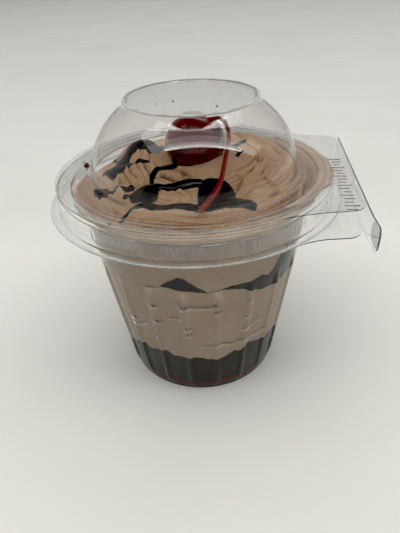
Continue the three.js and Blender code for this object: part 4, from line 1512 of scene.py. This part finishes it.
# %% Bend the stem
# Each point has x, y, z and the stem's radius there.
STEM = [
    (5, -6.3, 105.5, 1), (7.4, -6.4, 106.9, 0.9), (10.3, -7, 106.3, 0.75),
    (11.7, -8.5, 104.8, 0.7), (12.3, -11.5, 102.4, 0.7), (11.6, -15.5, 99.3, 0.75),
    (10.5, -19.5, 96.5, 0.75), (9.4, -23.5, 93.9, 0.8), (8.5, -26.5, 92.1, 0.85),
    (7.3, -29.5, 90.6, 1.1), (5.6, -32, 88.9, 1.3), (3.4, -34.3, 87.4, 1.2),
    (1.7, -36, 86.4, 1.1), (0.8, -37, 85.8, 0.9),
]


def bent_stem():
    """The stem: a curve of varying thickness, made a mesh."""
    stem = new("cherry_stem", bpy.ops.curve.primitive_bezier_curve_add)
    spline = stem.data.splines[0]
    spline.bezier_points.add(len(STEM) - len(spline.bezier_points))
    for point, (x, y, z, thick) in zip(spline.bezier_points, STEM):
        point.co = Vector((x, y, z)) * MM
        point.radius = thick
        point.handle_left_type = "AUTO"
        point.handle_right_type = "AUTO"
    stem.data.dimensions = "3D"
    stem.data.bevel_depth = MM
    stem.data.bevel_resolution = 4
    stem.data.use_fill_caps = True
    choose(stem)
    bpy.ops.object.convert(target="MESH")
    return tidied(bpy.context.object)


# %% Finish the cherry
def cherry_skin(name, bright, deep, roughness):
    """Dark red glossy skin with darker patches."""
    material, tree, shader = finish(
        name,
        Roughness=roughness,
        Coat_Weight=0.4,
        Coat_Roughness=0.04,
        Subsurface_Weight=0.1,
        Subsurface_Radius=(1.0, 0.1, 0.05),
        Subsurface_Scale=0.003,
    )
    colour = ramp(tree, noise(tree, 130.0, 3.0), [(0.35, deep), (0.7, bright)])
    plug(tree, shader, Base_Color=colour)
    relief(tree, shader, noise(tree, 220.0, 2.0), 0.00012)
    return material


fruit_skin = cherry_skin("cherry_skin", (0.17, 0.006, 0.009), (0.07, 0.002, 0.004), 0.12)
stem_skin = cherry_skin("stem_skin", (0.30, 0.014, 0.018), (0.14, 0.007, 0.009), 0.3)
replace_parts(finished(cherry_fruit, fruit_skin, "cherry", 80), "cherry")
finished(bent_stem(), stem_skin, "cherry", 80)

# %% [markdown]
# ## Spills
#
# On the right the mousse was pressed up over the rim when the lid went on. The film lies between
# the rim and the brim, so it is flat and about a millimetre thick: a spun ring, whose outer edge
# wanders, cut off at both ends. Two drops of red syrup sit on the brim at the left, and four
# specks of sauce on the flat top. Each is a ball with its lower half pressed flat.

# %% Press the film over the rim
SMEAR_OUT = [
    (-52, 47.0), (-39, 49.3), (-30, 49.2), (-22, 51.4), (-10, 51.3), (-3, 51.4), (3, 50.7),
    (10, 50.6), (17, 50.2), (24, 51.0), (32, 49.6), (40, 47.0),
]
SMEAR_LOW = 85.02
SMEAR_HIGH = 86.08
SMEAR_INSIDE = 46.0
SMEAR_WIDE = 4.0
FILM_SHADES = [(0.70, 0.52, 0.39), (0.86, 0.70, 0.57)]
smear_edge = round_level(SMEAR_OUT)


def rim_smear():
    """The film of mousse between rim and brim."""
    radii = [SMEAR_INSIDE + SMEAR_WIDE * share for share in (0, 0.5, 1)]
    outline = [(r, SMEAR_LOW, 0.4) for r in radii] + [(r, SMEAR_HIGH, 0.4) for r in radii[::-1]]
    piece = turned("rim_smear", softened(outline), 360)
    points, radius, azimuth = measured(piece)
    out = smear_edge(azimuth) + 0.25 * np.sin(np.radians(azimuth * 29))
    share = (radius - SMEAR_INSIDE) / SMEAR_WIDE
    radius = SMEAR_INSIDE + share * np.maximum(out - SMEAR_INSIDE, 0.3)
    put_corners(piece, at(radius, azimuth, points[:, 2]))
    for end, side in ((SMEAR_OUT[0][0], 1), (SMEAR_OUT[-1][0], -1)):
        a = math.radians(end)
        across = (-side * math.sin(a), side * math.cos(a), 0)
        edit_all(piece)
        bpy.ops.mesh.bisect(plane_co=(0, 0, 0), plane_no=across, use_fill=True, clear_inner=True)
    return tidied(piece)


film = mousse_finish("mousse_film", FILM_SHADES, FILM_SHADES)
finished(rim_smear(), film, "mousse", 60)

# %% Drop the syrup and the specks
# Each drop holds x, y, half its width and its height.
SYRUP_DROPS = [(-41.9, 5.4, 1.1, 1.5), (-44.0, 10.2, 0.4, 0.3)]
SPECKS = [
    (-6.3, -4.5, 0.34, 0.3), (8.4, -13.2, 0.36, 0.3), (10.4, 2.0, 0.2, 0.2),
    (-12.0, -7.0, 0.2, 0.2),
]
DROP_GAP = 0.02


def drop_on(level, name, x, y, half, up):
    """A drop on a level sheet, with a wavy outline."""
    ball = bpy.ops.mesh.primitive_uv_sphere_add
    drop = new(name, ball, segments=24, ring_count=12, radius=MM)
    points = corners(drop)
    points[:, 2] = np.where(points[:, 2] > 0, points[:, 2] * up, points[:, 2] * 0.05)
    sag = 1 + 0.12 * np.sin(3 * np.arctan2(points[:, 1], points[:, 0]))
    points[:, 0] *= half * sag
    points[:, 1] *= half * 1.2 * sag
    put_corners(drop, points + np.array([x, y, level + DROP_GAP]))
    return drop


syrup = cherry_skin("red_syrup", (0.10, 0.006, 0.006), (0.05, 0.003, 0.003), 0.1)
for index, place in enumerate(SYRUP_DROPS):
    finished(drop_on(BRIM_TOP, f"syrup_drop_{index}", *place), syrup, "cherry", 80)
for index, place in enumerate(SPECKS):
    speck = drop_on(HEIGHT - TOP_SUNK, f"sauce_speck_{index}", *place)
    finished(speck, dark_chocolate, "dark_chocolate", 80)
